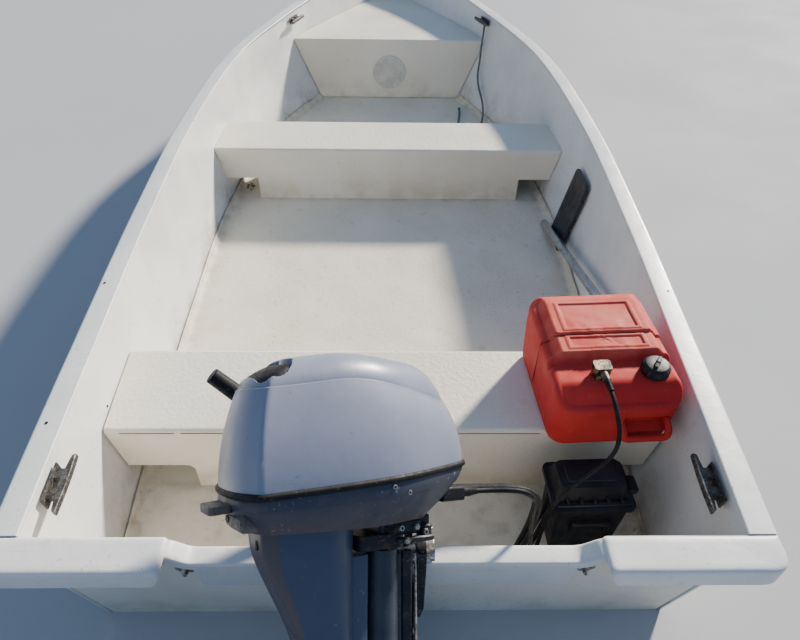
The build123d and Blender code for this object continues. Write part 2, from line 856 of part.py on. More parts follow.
# Propeller: hub and twisted blades
hub_start = bullet_end - fit
hub_length = 92
hub_radius = 31
hub_bore = 9
shaft_dir = motor.y_dir * -1
screw_plane = Plane(
    origin=motor.from_local_coords((0, hub_start, propeller_z)),
    x_dir=motor.x_dir,
    z_dir=shaft_dir,
)
with BuildPart() as propeller:
    with BuildSketch(screw_plane):
        Circle(hub_radius)
    extrude(amount=hub_length)
    chamfer(edges().group_by(Axis(screw_plane.origin, shaft_dir))[-1], 5)
    for index in range(propeller_blades):
        turn = 2 * pi / propeller_blades * index
        outward = screw_plane.x_dir * cos(turn) + screw_plane.y_dir * sin(turn)
        base = Plane(
            origin=screw_plane.from_local_coords((0, 0, hub_length / 2)),
            x_dir=shaft_dir,
            z_dir=outward,
        )
        for reach, chord, pitch in ((22, 66, 60), (68, 100, 42), (propeller_radius, 50, 28)):
            with BuildSketch(base.offset(reach)):
                Ellipse(chord / 2, 3.2, rotation=pitch)
        loft()
    with BuildSketch(screw_plane.offset(hub_length)):
        Circle(hub_bore)
    extrude(amount=-0.5 * hub_length, mode=Mode.SUBTRACT)
finish(propeller, "propeller")

# Frame of the cowl, square to the seal that falls towards the rear
cowl_slope = Vector(0, -sin(cowl_seal_slope), cos(cowl_seal_slope))
cowl = Plane(
    origin=motor.from_local_coords((0, seal_middle, cowl_seal_z)),
    x_dir=motor.x_dir,
    z_dir=motor.from_local_coords(cowl_slope) - motor.origin,
)


def ring_corners(rear, front, half):
    """Corners of the cowl's outline, with rear and front measured from the steering axis."""
    back = -rear - seal_middle
    head = front - seal_middle
    side_back = back + 0.34 * (head - back)
    side_head = back + 0.62 * (head - back)
    right = [(0.80 * half, back), (half, side_back), (half, side_head), (0.62 * half, head)]
    return right + [(-x, y) for x, y in reversed(right)]


# Upper cowl: sides up to the shoulder, then the crown
cowl_rings = [
    (seal_height / 2, cowl_rear - 4, cowl_front - 4, cowl_half_width - 4),
    (cowl_shoulder * 0.55, cowl_rear - 14, cowl_front - 12, cowl_half_width - 14),
    (cowl_shoulder, cowl_rear - 36, cowl_front - 32, cowl_half_width - 38),
]
crown_rings = [
    (cowl_shoulder, cowl_rear - 36, cowl_front - 32, cowl_half_width - 38),
    (cowl_shoulder + cowl_crown * 0.72, cowl_rear - 60, cowl_front - 62, cowl_half_width - 60),
    (cowl_shoulder + cowl_crown, cowl_rear - 104, cowl_front - 104, cowl_half_width - 88),
]
with BuildPart() as upper_cowl:
    for wall, mode in ((0, Mode.ADD), (cowl_wall, Mode.SUBTRACT)):
        for rings in (cowl_rings, crown_rings):
            for height, rear, front, half in rings:
                drop = wall if height > cowl_shoulder else 0
                with BuildSketch(cowl.offset(height - drop)):
                    with BuildLine():
                        Polyline(*ring_corners(rear - wall, front - wall, half - wall), close=True)
                    make_face()
                    fillet(vertices(), corner_share * half)
            loft(mode=mode)
finish(upper_cowl, "upper_cowl")

# Rubber seal between the cowls
with BuildPart() as cowl_seal:
    with BuildSketch(cowl.offset(-seal_height / 2 + fit)):
        with BuildLine():
            Polyline(*ring_corners(cowl_rear, cowl_front, cowl_half_width), close=True)
        make_face()
        fillet(vertices(), corner_share * cowl_half_width)
        offset(amount=-12, mode=Mode.SUBTRACT)
    extrude(amount=seal_height - 2 * fit)
finish(cowl_seal, "cowl_seal")

# Lower cowl: tray under the engine
floor_plane = Plane(
    origin=motor.from_local_coords((0, seal_middle, cowl_floor_z)),
    x_dir=motor.x_dir,
    z_dir=motor.z_dir,
)
with BuildPart() as lower_cowl:
    for wall, mode in ((0, Mode.ADD), (cowl_wall, Mode.SUBTRACT)):
        rim = cowl.offset(-seal_height / 2)
        tray_rings = [
            (floor_plane.offset(wall), cowl_rear - 26, 62, cowl_half_width - 34),
            (rim, cowl_rear - 6, cowl_front - 4, cowl_half_width - 4),
        ]
        for plane, rear, front, half in tray_rings:
            with BuildSketch(plane):
                with BuildLine():
                    Polyline(*ring_corners(rear - wall, front - wall, half - wall), close=True)
                make_face()
                fillet(vertices(), corner_share * half)
        loft(mode=mode)
finish(lower_cowl, "lower_cowl")

# Engine, a plain block for the inner mass
with BuildPart() as engine_block:
    with BuildSketch(motor.offset(cowl_floor_z + cowl_wall + fit)):
        with Locations((0, -100)):
            RectangleRounded(engine_width, engine_length, 20)
    extrude(amount=engine_height)
finish(engine_block, "engine_block")

# Latch lever at the rear of the seal
latch_start = cowl_rear - 8.2
latch_end = cowl_rear + 28
with BuildPart() as cowl_latch:
    with BuildSketch(cowl.offset(-26)):
        with Locations((0, -(latch_start + latch_end) / 2 - seal_middle)):
            RectangleRounded(62, latch_end - latch_start, 9)
    extrude(amount=12)
finish(cowl_latch, "cowl_latch")

# Hose coupling and cable socket on the front of the lower cowl
coupling_back = 102
coupling_z = 112
coupling_plane = Plane(
    origin=motor.from_local_coords((30, coupling_back, coupling_z)),
    x_dir=motor.x_dir,
    z_dir=motor.y_dir,
)
with BuildPart() as fuel_coupling:
    with BuildSketch(coupling_plane):
        RectangleRounded(34, 26, 6)
    extrude(amount=46)
    with BuildSketch(coupling_plane.offset(46)):
        Circle(9)
    extrude(amount=18)
finish(fuel_coupling, "fuel_coupling")

socket_plane = Plane(
    origin=motor.from_local_coords((-26, coupling_back, coupling_z)),
    x_dir=motor.x_dir,
    z_dir=motor.y_dir,
)
with BuildPart() as cable_socket:
    with BuildSketch(socket_plane):
        RectangleRounded(48, 26, 6)
    extrude(amount=54)
finish(cable_socket, "cable_socket")

# Fuel tank, turned a little on the stern thwart
tank_frame = Plane(
    origin=(tank_centre[0], tank_centre[1], stern_thwart["top"] + fit),
    x_dir=(cos(radians(tank_turn)), sin(radians(tank_turn)), 0),
    z_dir=(0, 0, 1),
)
tank_fore = tank_length / 2
with BuildPart() as fuel_tank:
    with BuildSketch(side_view(tank_frame, -tank_width / 2)):
        with BuildLine():
            Polyline(
                (-tank_fore + 58, 0),
                (tank_fore - 26, 0),
                (tank_fore - 8, 14),
                (tank_fore, 60),
                (tank_fore - 4, 150),
                (tank_fore - 10, tank_height - 14),
                (tank_fore - 24, tank_height),
                (18, tank_height),
                (16, tank_height - 7),
                (-36, tank_height - 9),
                (-56, tank_deck),
                (-tank_fore + 52, tank_deck),
                (-tank_fore + 26, tank_deck - 12),
                (-tank_fore + 8, tank_deck - 42),
                (-tank_fore, tank_deck - 86),
                (-tank_fore + 6, 46),
                (-tank_fore + 24, 16),
                close=True,
            )
        make_face()
    extrude(amount=tank_width)
    ends = faces().sort_by(Axis(tank_frame.origin, tank_frame.x_dir))
    fillet(ends[0].edges() + ends[-1].edges(), 12)
    pocket = Plane(
        origin=tank_frame.from_local_coords((74, -tank_fore - 10, 34)),
        x_dir=tank_frame.x_dir,
        z_dir=tank_frame.z_dir,
    )
    with BuildSketch(pocket):
        with Locations((0, 26)):
            Rectangle(104, 72)
    extrude(amount=48, mode=Mode.SUBTRACT)
    with BuildSketch(pocket.offset(0)):
        with Locations((0, 18)):
            Rectangle(112, 18)
    extrude(amount=14)
finish(fuel_tank, "fuel_tank")

# Filler cap and hose fitting on the lower deck of the tank
cap_plane = Plane(
    origin=tank_frame.from_local_coords((92, -92, tank_deck + fit)),
    x_dir=tank_frame.x_dir,
    z_dir=(0, 0, 1),
)
with BuildPart() as tank_cap:
    with BuildSketch(cap_plane):
        Circle(31)
        with PolarLocations(31, 18):
            Circle(1.6)
    extrude(amount=24)
    with BuildSketch(cap_plane.offset(24)):
        Circle(26)
    extrude(amount=4)
    with BuildSketch(cap_plane.offset(28)):
        Rectangle(40, 10)
    extrude(amount=7)
finish(tank_cap, "tank_cap")

fitting_plane = Plane(
    origin=tank_frame.from_local_coords((-38, -92, tank_deck + fit)),
    x_dir=tank_frame.x_dir,
    z_dir=(0, 0, 1),
)
with BuildPart() as tank_fitting:
    with BuildSketch(fitting_plane):
        Circle(20)
    extrude(amount=12)
    with BuildSketch(fitting_plane.offset(12)):
        RectangleRounded(40, 30, 6)
    extrude(amount=20)
    with BuildSketch(Plane(
        origin=fitting_plane.from_local_coords((0, -14, 21)),
        x_dir=tank_frame.x_dir,
        z_dir=tank_frame.y_dir * -1,
    )):
        Circle(9)
    extrude(amount=26)
finish(tank_fitting, "tank_fitting")

# Battery box standing in the stern well
box_frame = Plane(
    origin=(battery_centre[0], battery_centre[1], sole_z + fit),
    x_dir=(cos(radians(battery_turn)), sin(radians(battery_turn)), 0),
    z_dir=(0, 0, 1),
)
with BuildPart() as battery_box:
    with BuildSketch(box_frame):
        RectangleRounded(battery_width - 16, battery_depth - 12, 14)
    with BuildSketch(box_frame.offset(battery_height)):
        RectangleRounded(battery_width, battery_depth, 14)
    loft()
    with BuildSketch(box_frame.offset(5)):
        RectangleRounded(battery_width - 24, battery_depth - 20, 11)
    with BuildSketch(box_frame.offset(battery_height)):
        RectangleRounded(battery_width - 8, battery_depth - 8, 11)
    loft(mode=Mode.SUBTRACT)
finish(battery_box, "battery_box")

with BuildPart() as battery_lid:
    with BuildSketch(box_frame.offset(battery_height + fit)):
        RectangleRounded(battery_width + 2 * battery_brim, battery_depth + 8, 16)
    extrude(amount=12)
    with BuildSketch(box_frame.offset(battery_height + fit + 12)):
        with Locations((0, 8)):
            RectangleRounded(battery_width + 8, battery_depth - 26, 16)
    with BuildSketch(box_frame.offset(battery_height + fit + battery_lid_height)):
        with Locations((0, 10)):
            RectangleRounded(battery_width - 14, battery_depth - 50, 16)
    loft()
finish(battery_lid, "battery_lid")

# Pole lying from the stern thwart down to the sole
pole_side_gap = 14
pole_x = tank_centre[0] + tank_width / 2 + pole_side_gap
pole_start = Vector(pole_x, stern_thwart["fore"] - 61, 268)
pole_end = Vector(pole_x - 30, mid_thwart["aft"] - 211, 22.9)
pole_frame = Plane(origin=pole_start, z_dir=pole_end - pole_start)
with BuildPart() as pole:
    with BuildSketch(pole_frame):
        Circle(pole_radius)
        Circle(pole_radius - 1.6, mode=Mode.SUBTRACT)
    extrude(amount=(pole_end - pole_start).length)
finish(pole, "pole")

# Black blade leaning on the starboard side behind the pole
board_lean = atan2(58, board_height)
board_up = Vector(sin(board_lean), 0, cos(board_lean))
board_frame = Plane(
    origin=(675.3, mid_thwart["aft"] - 330, sole_z + 2),
    x_dir=(0, 1, 0),
    z_dir=Vector(0, 1, 0).cross(board_up),
)
with BuildPart() as blade:
    with BuildSketch(board_frame):
        with Locations((0, board_height / 2)):
            RectangleRounded(board_width, board_height, 22)
    extrude(amount=board_thickness)
finish(blade, "blade")


def cord(points, diameter, label):
    """Round cord of straight runs joined by arcs, with each arc's radius taken from its runs."""
    spots = [Vector(*point) for point in points]
    radii = []
    for before, here, after in zip(spots, spots[1:], spots[2:]):
        into = here - before
        out = after - here
        half_turn = radians(into.get_angle(out)) / 2
        radii.append(0.45 * min(into.length, out.length) / tan(half_turn))
    runs = [(two - one).length for one, two in zip(spots, spots[1:])]
    print(label, "radii", [round(radius) for radius in radii], "runs", [round(run) for run in runs])
    start = Plane(origin=spots[0], z_dir=spots[1] - spots[0])
    with BuildPart() as tube:
        with BuildLine():
            path = FilletPolyline(*spots, radius=radii)
        with BuildSketch(start):
            Circle(diameter / 2)
        sweep(path=path)
    wanted = pi * diameter**2 / 4 * path.length
    print(label, "volume over section times length", round(tube.part.volume / wanted, 4))
    finish(tube, label)


def arch(meeting, reach, drop):
    """Points from below over a shoulder to the meeting, each turn a third of a right angle."""
    over = meeting + Vector(reach, 0, 0)
    crest = over + Vector(reach * cos(pi / 6), 0, -reach * sin(pi / 6))
    shoulder = crest + Vector(reach * sin(pi / 6), 0, -reach * cos(pi / 6))
    return [shoulder - Vector(0, 0, drop), shoulder, crest, over, meeting]


# Fuel hose from the tank over the battery box and round to the motor
# Each cord parts from its motor end at the same breadth, where tilting only slides the ends
parting_x = 220
forward = motor.y_dir
fitting_nose = fitting_plane.from_local_coords((0, -14 - 26 - fit, 21))
coupling_nose = motor.from_local_coords((30, coupling_back + 64 + fit, coupling_z))
hose_bend = coupling_nose + forward * 34
hose_meeting = Vector(parting_x, hose_bend.Y, hose_bend.Z)
hose_root = [
    fitting_nose,
    fitting_nose - tank_frame.y_dir * 52,
    (508, -1768, 372),
    (492, -1784, 318),
    (450, -1794, 272),
    (402, -1816, 248),
    (368, -1836, 204),
    (362, -1842, 140),
    (362, -1842, 48),
    (345, -1871, 14),
    (321, -1913, 14),
    (304, -1942, 48),
    (308, -1942, 108),
    (308, -1940, 166),
    (303, -1937, 224),
    (296, -1934, 282),
    *arch(hose_meeting, 30, 50),
]
hose_motor = [hose_meeting - (fit, 0, 0), hose_bend, coupling_nose]
cord(hose_root, hose_diameter, "fuel_hose")
cord(hose_motor, hose_diameter, "fuel_hose_motor")

# Two battery cables from under the rim of the lid to the motor
brim_z = sole_z + battery_height + fit
cable_rows = {
    "battery_cable_aft": dict(
        socket_x=-14,
        reach=38,
        down=[(384, -1800, brim_z), (384, -1800, 132), (374, -1800, 55)],
        along=[(348, -1832, 15), (315, -1877, 15)],
        up=[(291, -1909, 55), (293, -1909, 117), (299, -1910, 177), (307, -1910, 236)],
    ),
    "battery_cable_fore": dict(
        socket_x=-38,
        reach=36,
        down=[(384, -1778, brim_z), (384, -1778, 132), (368, -1784, 55)],
        along=[(342, -1816, 15), (309, -1861, 15)],
        up=[(285, -1893, 55), (287, -1894, 111), (293, -1895, 167), (301, -1896, 224)],
    ),
}
for label, row in cable_rows.items():
    socket = motor.from_local_coords((row["socket_x"], coupling_back + 54 + fit, coupling_z))
    bend = socket + forward * 40
    meeting = Vector(parting_x, bend.Y, bend.Z)
    rise = arch(meeting, row["reach"], 58)
    cord(row["down"] + row["along"] + row["up"] + rise, cable_diameter, label)
    cord([meeting - (fit, 0, 0), bend, socket], cable_diameter, label + "_motor")

# Mooring rope from the starboard bow cleat down to the sole
hitch = cleat_frame(*cleat_places["cleat_bow_starboard"])
rope_start = hitch.from_local_coords((-46, cleat_standoff - 3, -cleat_width / 2 - fit))
cord(
    [
        rope_start,
        rope_start - (0, 0, 46),
        (504, 946, 318),
        (500, 908, 250),
        (488, 880, 182),
        (492, 820, 138),
        (502, 760, 112),
        (510, 704, 84),
        (510, 656, 36),
        (498, 612, 15),
        (486, 560, 15),
        (454, 520, 15),
        (410, 520, 15),
        (378, 560, 15),
        (374, 616, 15),
        (382, 680, 15),
        (392, 750, 15),
        (394, 818, 15),
    ],
    rope_diameter,
    "mooring_rope",
)
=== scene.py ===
import math

import bmesh
import bpy
import numpy as np
from mathutils import Matrix, Vector


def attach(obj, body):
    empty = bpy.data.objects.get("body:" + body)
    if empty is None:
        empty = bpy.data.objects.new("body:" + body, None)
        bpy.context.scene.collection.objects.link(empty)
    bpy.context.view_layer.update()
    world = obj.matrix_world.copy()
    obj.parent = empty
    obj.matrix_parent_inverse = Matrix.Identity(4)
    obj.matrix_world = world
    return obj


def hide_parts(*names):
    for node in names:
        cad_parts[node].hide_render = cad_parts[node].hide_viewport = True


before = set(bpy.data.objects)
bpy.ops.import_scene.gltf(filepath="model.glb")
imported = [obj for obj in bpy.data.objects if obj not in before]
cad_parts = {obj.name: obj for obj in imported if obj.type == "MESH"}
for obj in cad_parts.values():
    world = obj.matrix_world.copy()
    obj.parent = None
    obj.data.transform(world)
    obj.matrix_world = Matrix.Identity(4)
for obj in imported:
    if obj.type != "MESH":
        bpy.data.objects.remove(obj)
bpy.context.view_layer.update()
print("frame loaded:", len(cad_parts), "nodes")

mm = 0.001


# Object of the data, linked to the scene
def addObject(name, data):
    thing = bpy.data.objects.new(name, data)
    bpy.context.scene.collection.objects.link(thing)
    return thing


# Light whose own third axis points along the direction, so that it shines the other way
def addLight(name, kind, strength, direction, place=(0, 0, 0)):
    data = bpy.data.lights.new(name, kind)
    data.energy = strength
    light = addObject(name, data)
    light.location = place
    light.rotation_mode = "QUATERNION"
    light.rotation_quaternion = Vector(direction).to_track_quat("Z", "Y")
    return data


# Camera over the stern, in metres, with its right and up directions
cameraSetup = dict(
    place=(0.0037, -2.5925, 1.4521),
    right=(0.999844, -0.010793, 0.013957),
    up=(-0.003221, 0.666103, 0.745853),
    pixels=619.65,  # focal length in pixels of a picture of the width below
    width=800,
    sensor=36,
    clip=(0.05, 60),
)
cameraData = bpy.data.cameras.new("camera")
cameraData.sensor_width = cameraSetup["sensor"]
cameraData.lens = cameraSetup["sensor"] * cameraSetup["pixels"] / cameraSetup["width"]
cameraData.clip_start, cameraData.clip_end = cameraSetup["clip"]
camera = addObject("camera", cameraData)
cameraX, cameraY = np.array(cameraSetup["right"]), np.array(cameraSetup["up"])
pose = np.eye(4)
pose[:3] = np.column_stack([cameraX, cameraY, np.cross(cameraX, cameraY), cameraSetup["place"]])
camera.matrix_world = Matrix([list(row) for row in pose])
bpy.context.scene.camera = camera

lightSetup = dict(
    sunFrom=(0.80, 1.0, 0.62),
    sunStrength=11,
    sunColour=(1.0, 0.925, 0.81),
    sunSpread=5,  # degrees, wide enough for soft shadows
    sky=(0.42, 0.63, 1.0),
    skyStrength=0.55,
    fillFrom=(-1.2, -3.5, 4.0),
    fillPlace=(-1.5, -4.5, 4.5),
    fillStrength=8,
    fillSize=4,
)
sunData = addLight("sun", "SUN", lightSetup["sunStrength"], lightSetup["sunFrom"])
sunData.color = lightSetup["sunColour"]
sunData.angle = math.radians(lightSetup["sunSpread"])
fillData = addLight("fill", "AREA", lightSetup["fillStrength"], lightSetup["fillFrom"], lightSetup["fillPlace"])
fillData.size = lightSetup["fillSize"]
world = bpy.data.worlds.new("sky")
world.use_nodes = True
background = world.node_tree.nodes["Background"]
background.inputs["Color"].default_value = (*lightSetup["sky"], 1)
background.inputs["Strength"].default_value = lightSetup["skyStrength"]
bpy.context.scene.world = world

# Where the ease over each noise starts and ends, and for grime and painted shade what it gives there
noiseSpans = dict(
    patch=(0.35, 0.68), band=(0.42, 0.60), grimeAndShade=(0.25, 0.70, (0.35, 1.35)), stainAndShade=(0.38, 0.66), gloss=(0.3, 0.7),
)
bumpStrength = 0.6


# Finish: two tones mixed by a broad noise, flecks where a fine noise is high, grime and painted shade by a point
# attribute, a stain with painted shade that fades with height over the sole, and a bump that is the sum of noises
# times their depths
def nodeFinish(name, values):
    material = bpy.data.materials.new(name)
    material.use_nodes = True
    nodes, links = material.node_tree.nodes, material.node_tree.links
    shader = nodes["Principled BSDF"]
    place = nodes.new("ShaderNodeTexCoord").outputs["Object"]

    def feed(socket, value):
        if isinstance(value, (int, float, tuple)):
            socket.default_value = value
        else:
            links.new(value, socket)

    def noise(scale, detail=4, rough=0.55):
        texture = nodes.new("ShaderNodeTexNoise")
        for key, value in (("Scale", scale), ("Detail", detail), ("Roughness", rough), ("Vector", place)):
            feed(texture.inputs[key], value)
        return texture.outputs["Fac"]

    def span(value, low, high, out=(0, 1)):
        node = nodes.new("ShaderNodeMapRange")
        node.interpolation_type = "SMOOTHSTEP"
        for key, entry in zip(("Value", "From Min", "From Max", "To Min", "To Max"), (value, low, high, *out)):
            feed(node.inputs[key], entry)
        return node.outputs["Result"]

    def mix(share, first, second):
        node = nodes.new("ShaderNodeMix")
        node.data_type = "RGBA"
        feed(node.inputs["Factor"], share)
        for socket, colour in (("A", first), ("B", second)):
            target = [s for s in node.inputs if s.name == socket and s.type == "RGBA"][0]
            feed(target, (*colour, 1) if isinstance(colour, tuple) else colour)
        return [s for s in node.outputs if s.type == "RGBA"][0]

    def combine(kind, first, second):
        node = nodes.new("ShaderNodeMath")
        node.operation = kind
        feed(node.inputs[0], first)
        feed(node.inputs[1], second)
        return node.outputs["Value"]

    colour = mix(span(noise(values["patch"]), *noiseSpans["patch"]), values["colour"], values["second"])
    for scale, low, most, tone, band, soft in values.get("flecks", ()):
        share = span(noise(scale, 2, 0.5), low, low + soft, (0, most))
        if band:
            share = combine("MULTIPLY", share, span(noise(band), *noiseSpans["band"]))
        colour = mix(share, colour, tone)
    # Grime and painted shade, mixed in by the point attribute
    if "grimeAndShade" in values:
        attribute = nodes.new("ShaderNodeAttribute")
        attribute.attribute_name = "grimeAndShade"
        share = attribute.outputs["Fac"]
        if values.get("ragged", True):
            patches = span(noise(values.get("grimeScale", 30)), *noiseSpans["grimeAndShade"])
            share = combine("MULTIPLY", patches, share)
        colour = mix(share, colour, values["grimeAndShade"])
    # Stain with painted shade, darker towards the bottom: it fades with height over the sole
    if "low" in values:
        stainAndShade = values["low"]
        parts = nodes.new("ShaderNodeSeparateXYZ")
        feed(parts.inputs["Vector"], place)
        fade = span(parts.outputs["Z"], stainAndShade["from"], stainAndShade["to"], (stainAndShade["share"], 0))
        share = combine("MULTIPLY", fade, span(noise(9, 6, 0.6), *noiseSpans["stainAndShade"]))
        colour = mix(share, colour, stainAndShade["colour"])
    feed(shader.inputs["Base Color"], colour)
    gloss = span(noise(values["patch"] * 2.3), *noiseSpans["gloss"], values["gloss"])
    feed(shader.inputs["Roughness"], gloss)
    feed(shader.inputs["Metallic"], values.get("metal", 0))
    feed(shader.inputs["Specular IOR Level"], values.get("shine", 0.5))
    if "coat" in values:
        feed(shader.inputs["Coat Weight"], values["coat"])
        feed(shader.inputs["Coat Roughness"], values["coatRough"])
    layers = [combine("MULTIPLY", noise(scale, 3, 0.6), depth) for scale, depth in values["bump"]]
    height = layers[0]
    for layer in layers[1:]:
        height = combine("ADD", height, layer)
    bump = nodes.new("ShaderNodeBump")
    for key, value in (("Strength", bumpStrength), ("Distance", 1), ("Height", height)):
        feed(bump.inputs[key], value)
    feed(shader.inputs["Normal"], bump.outputs["Normal"])
    return material


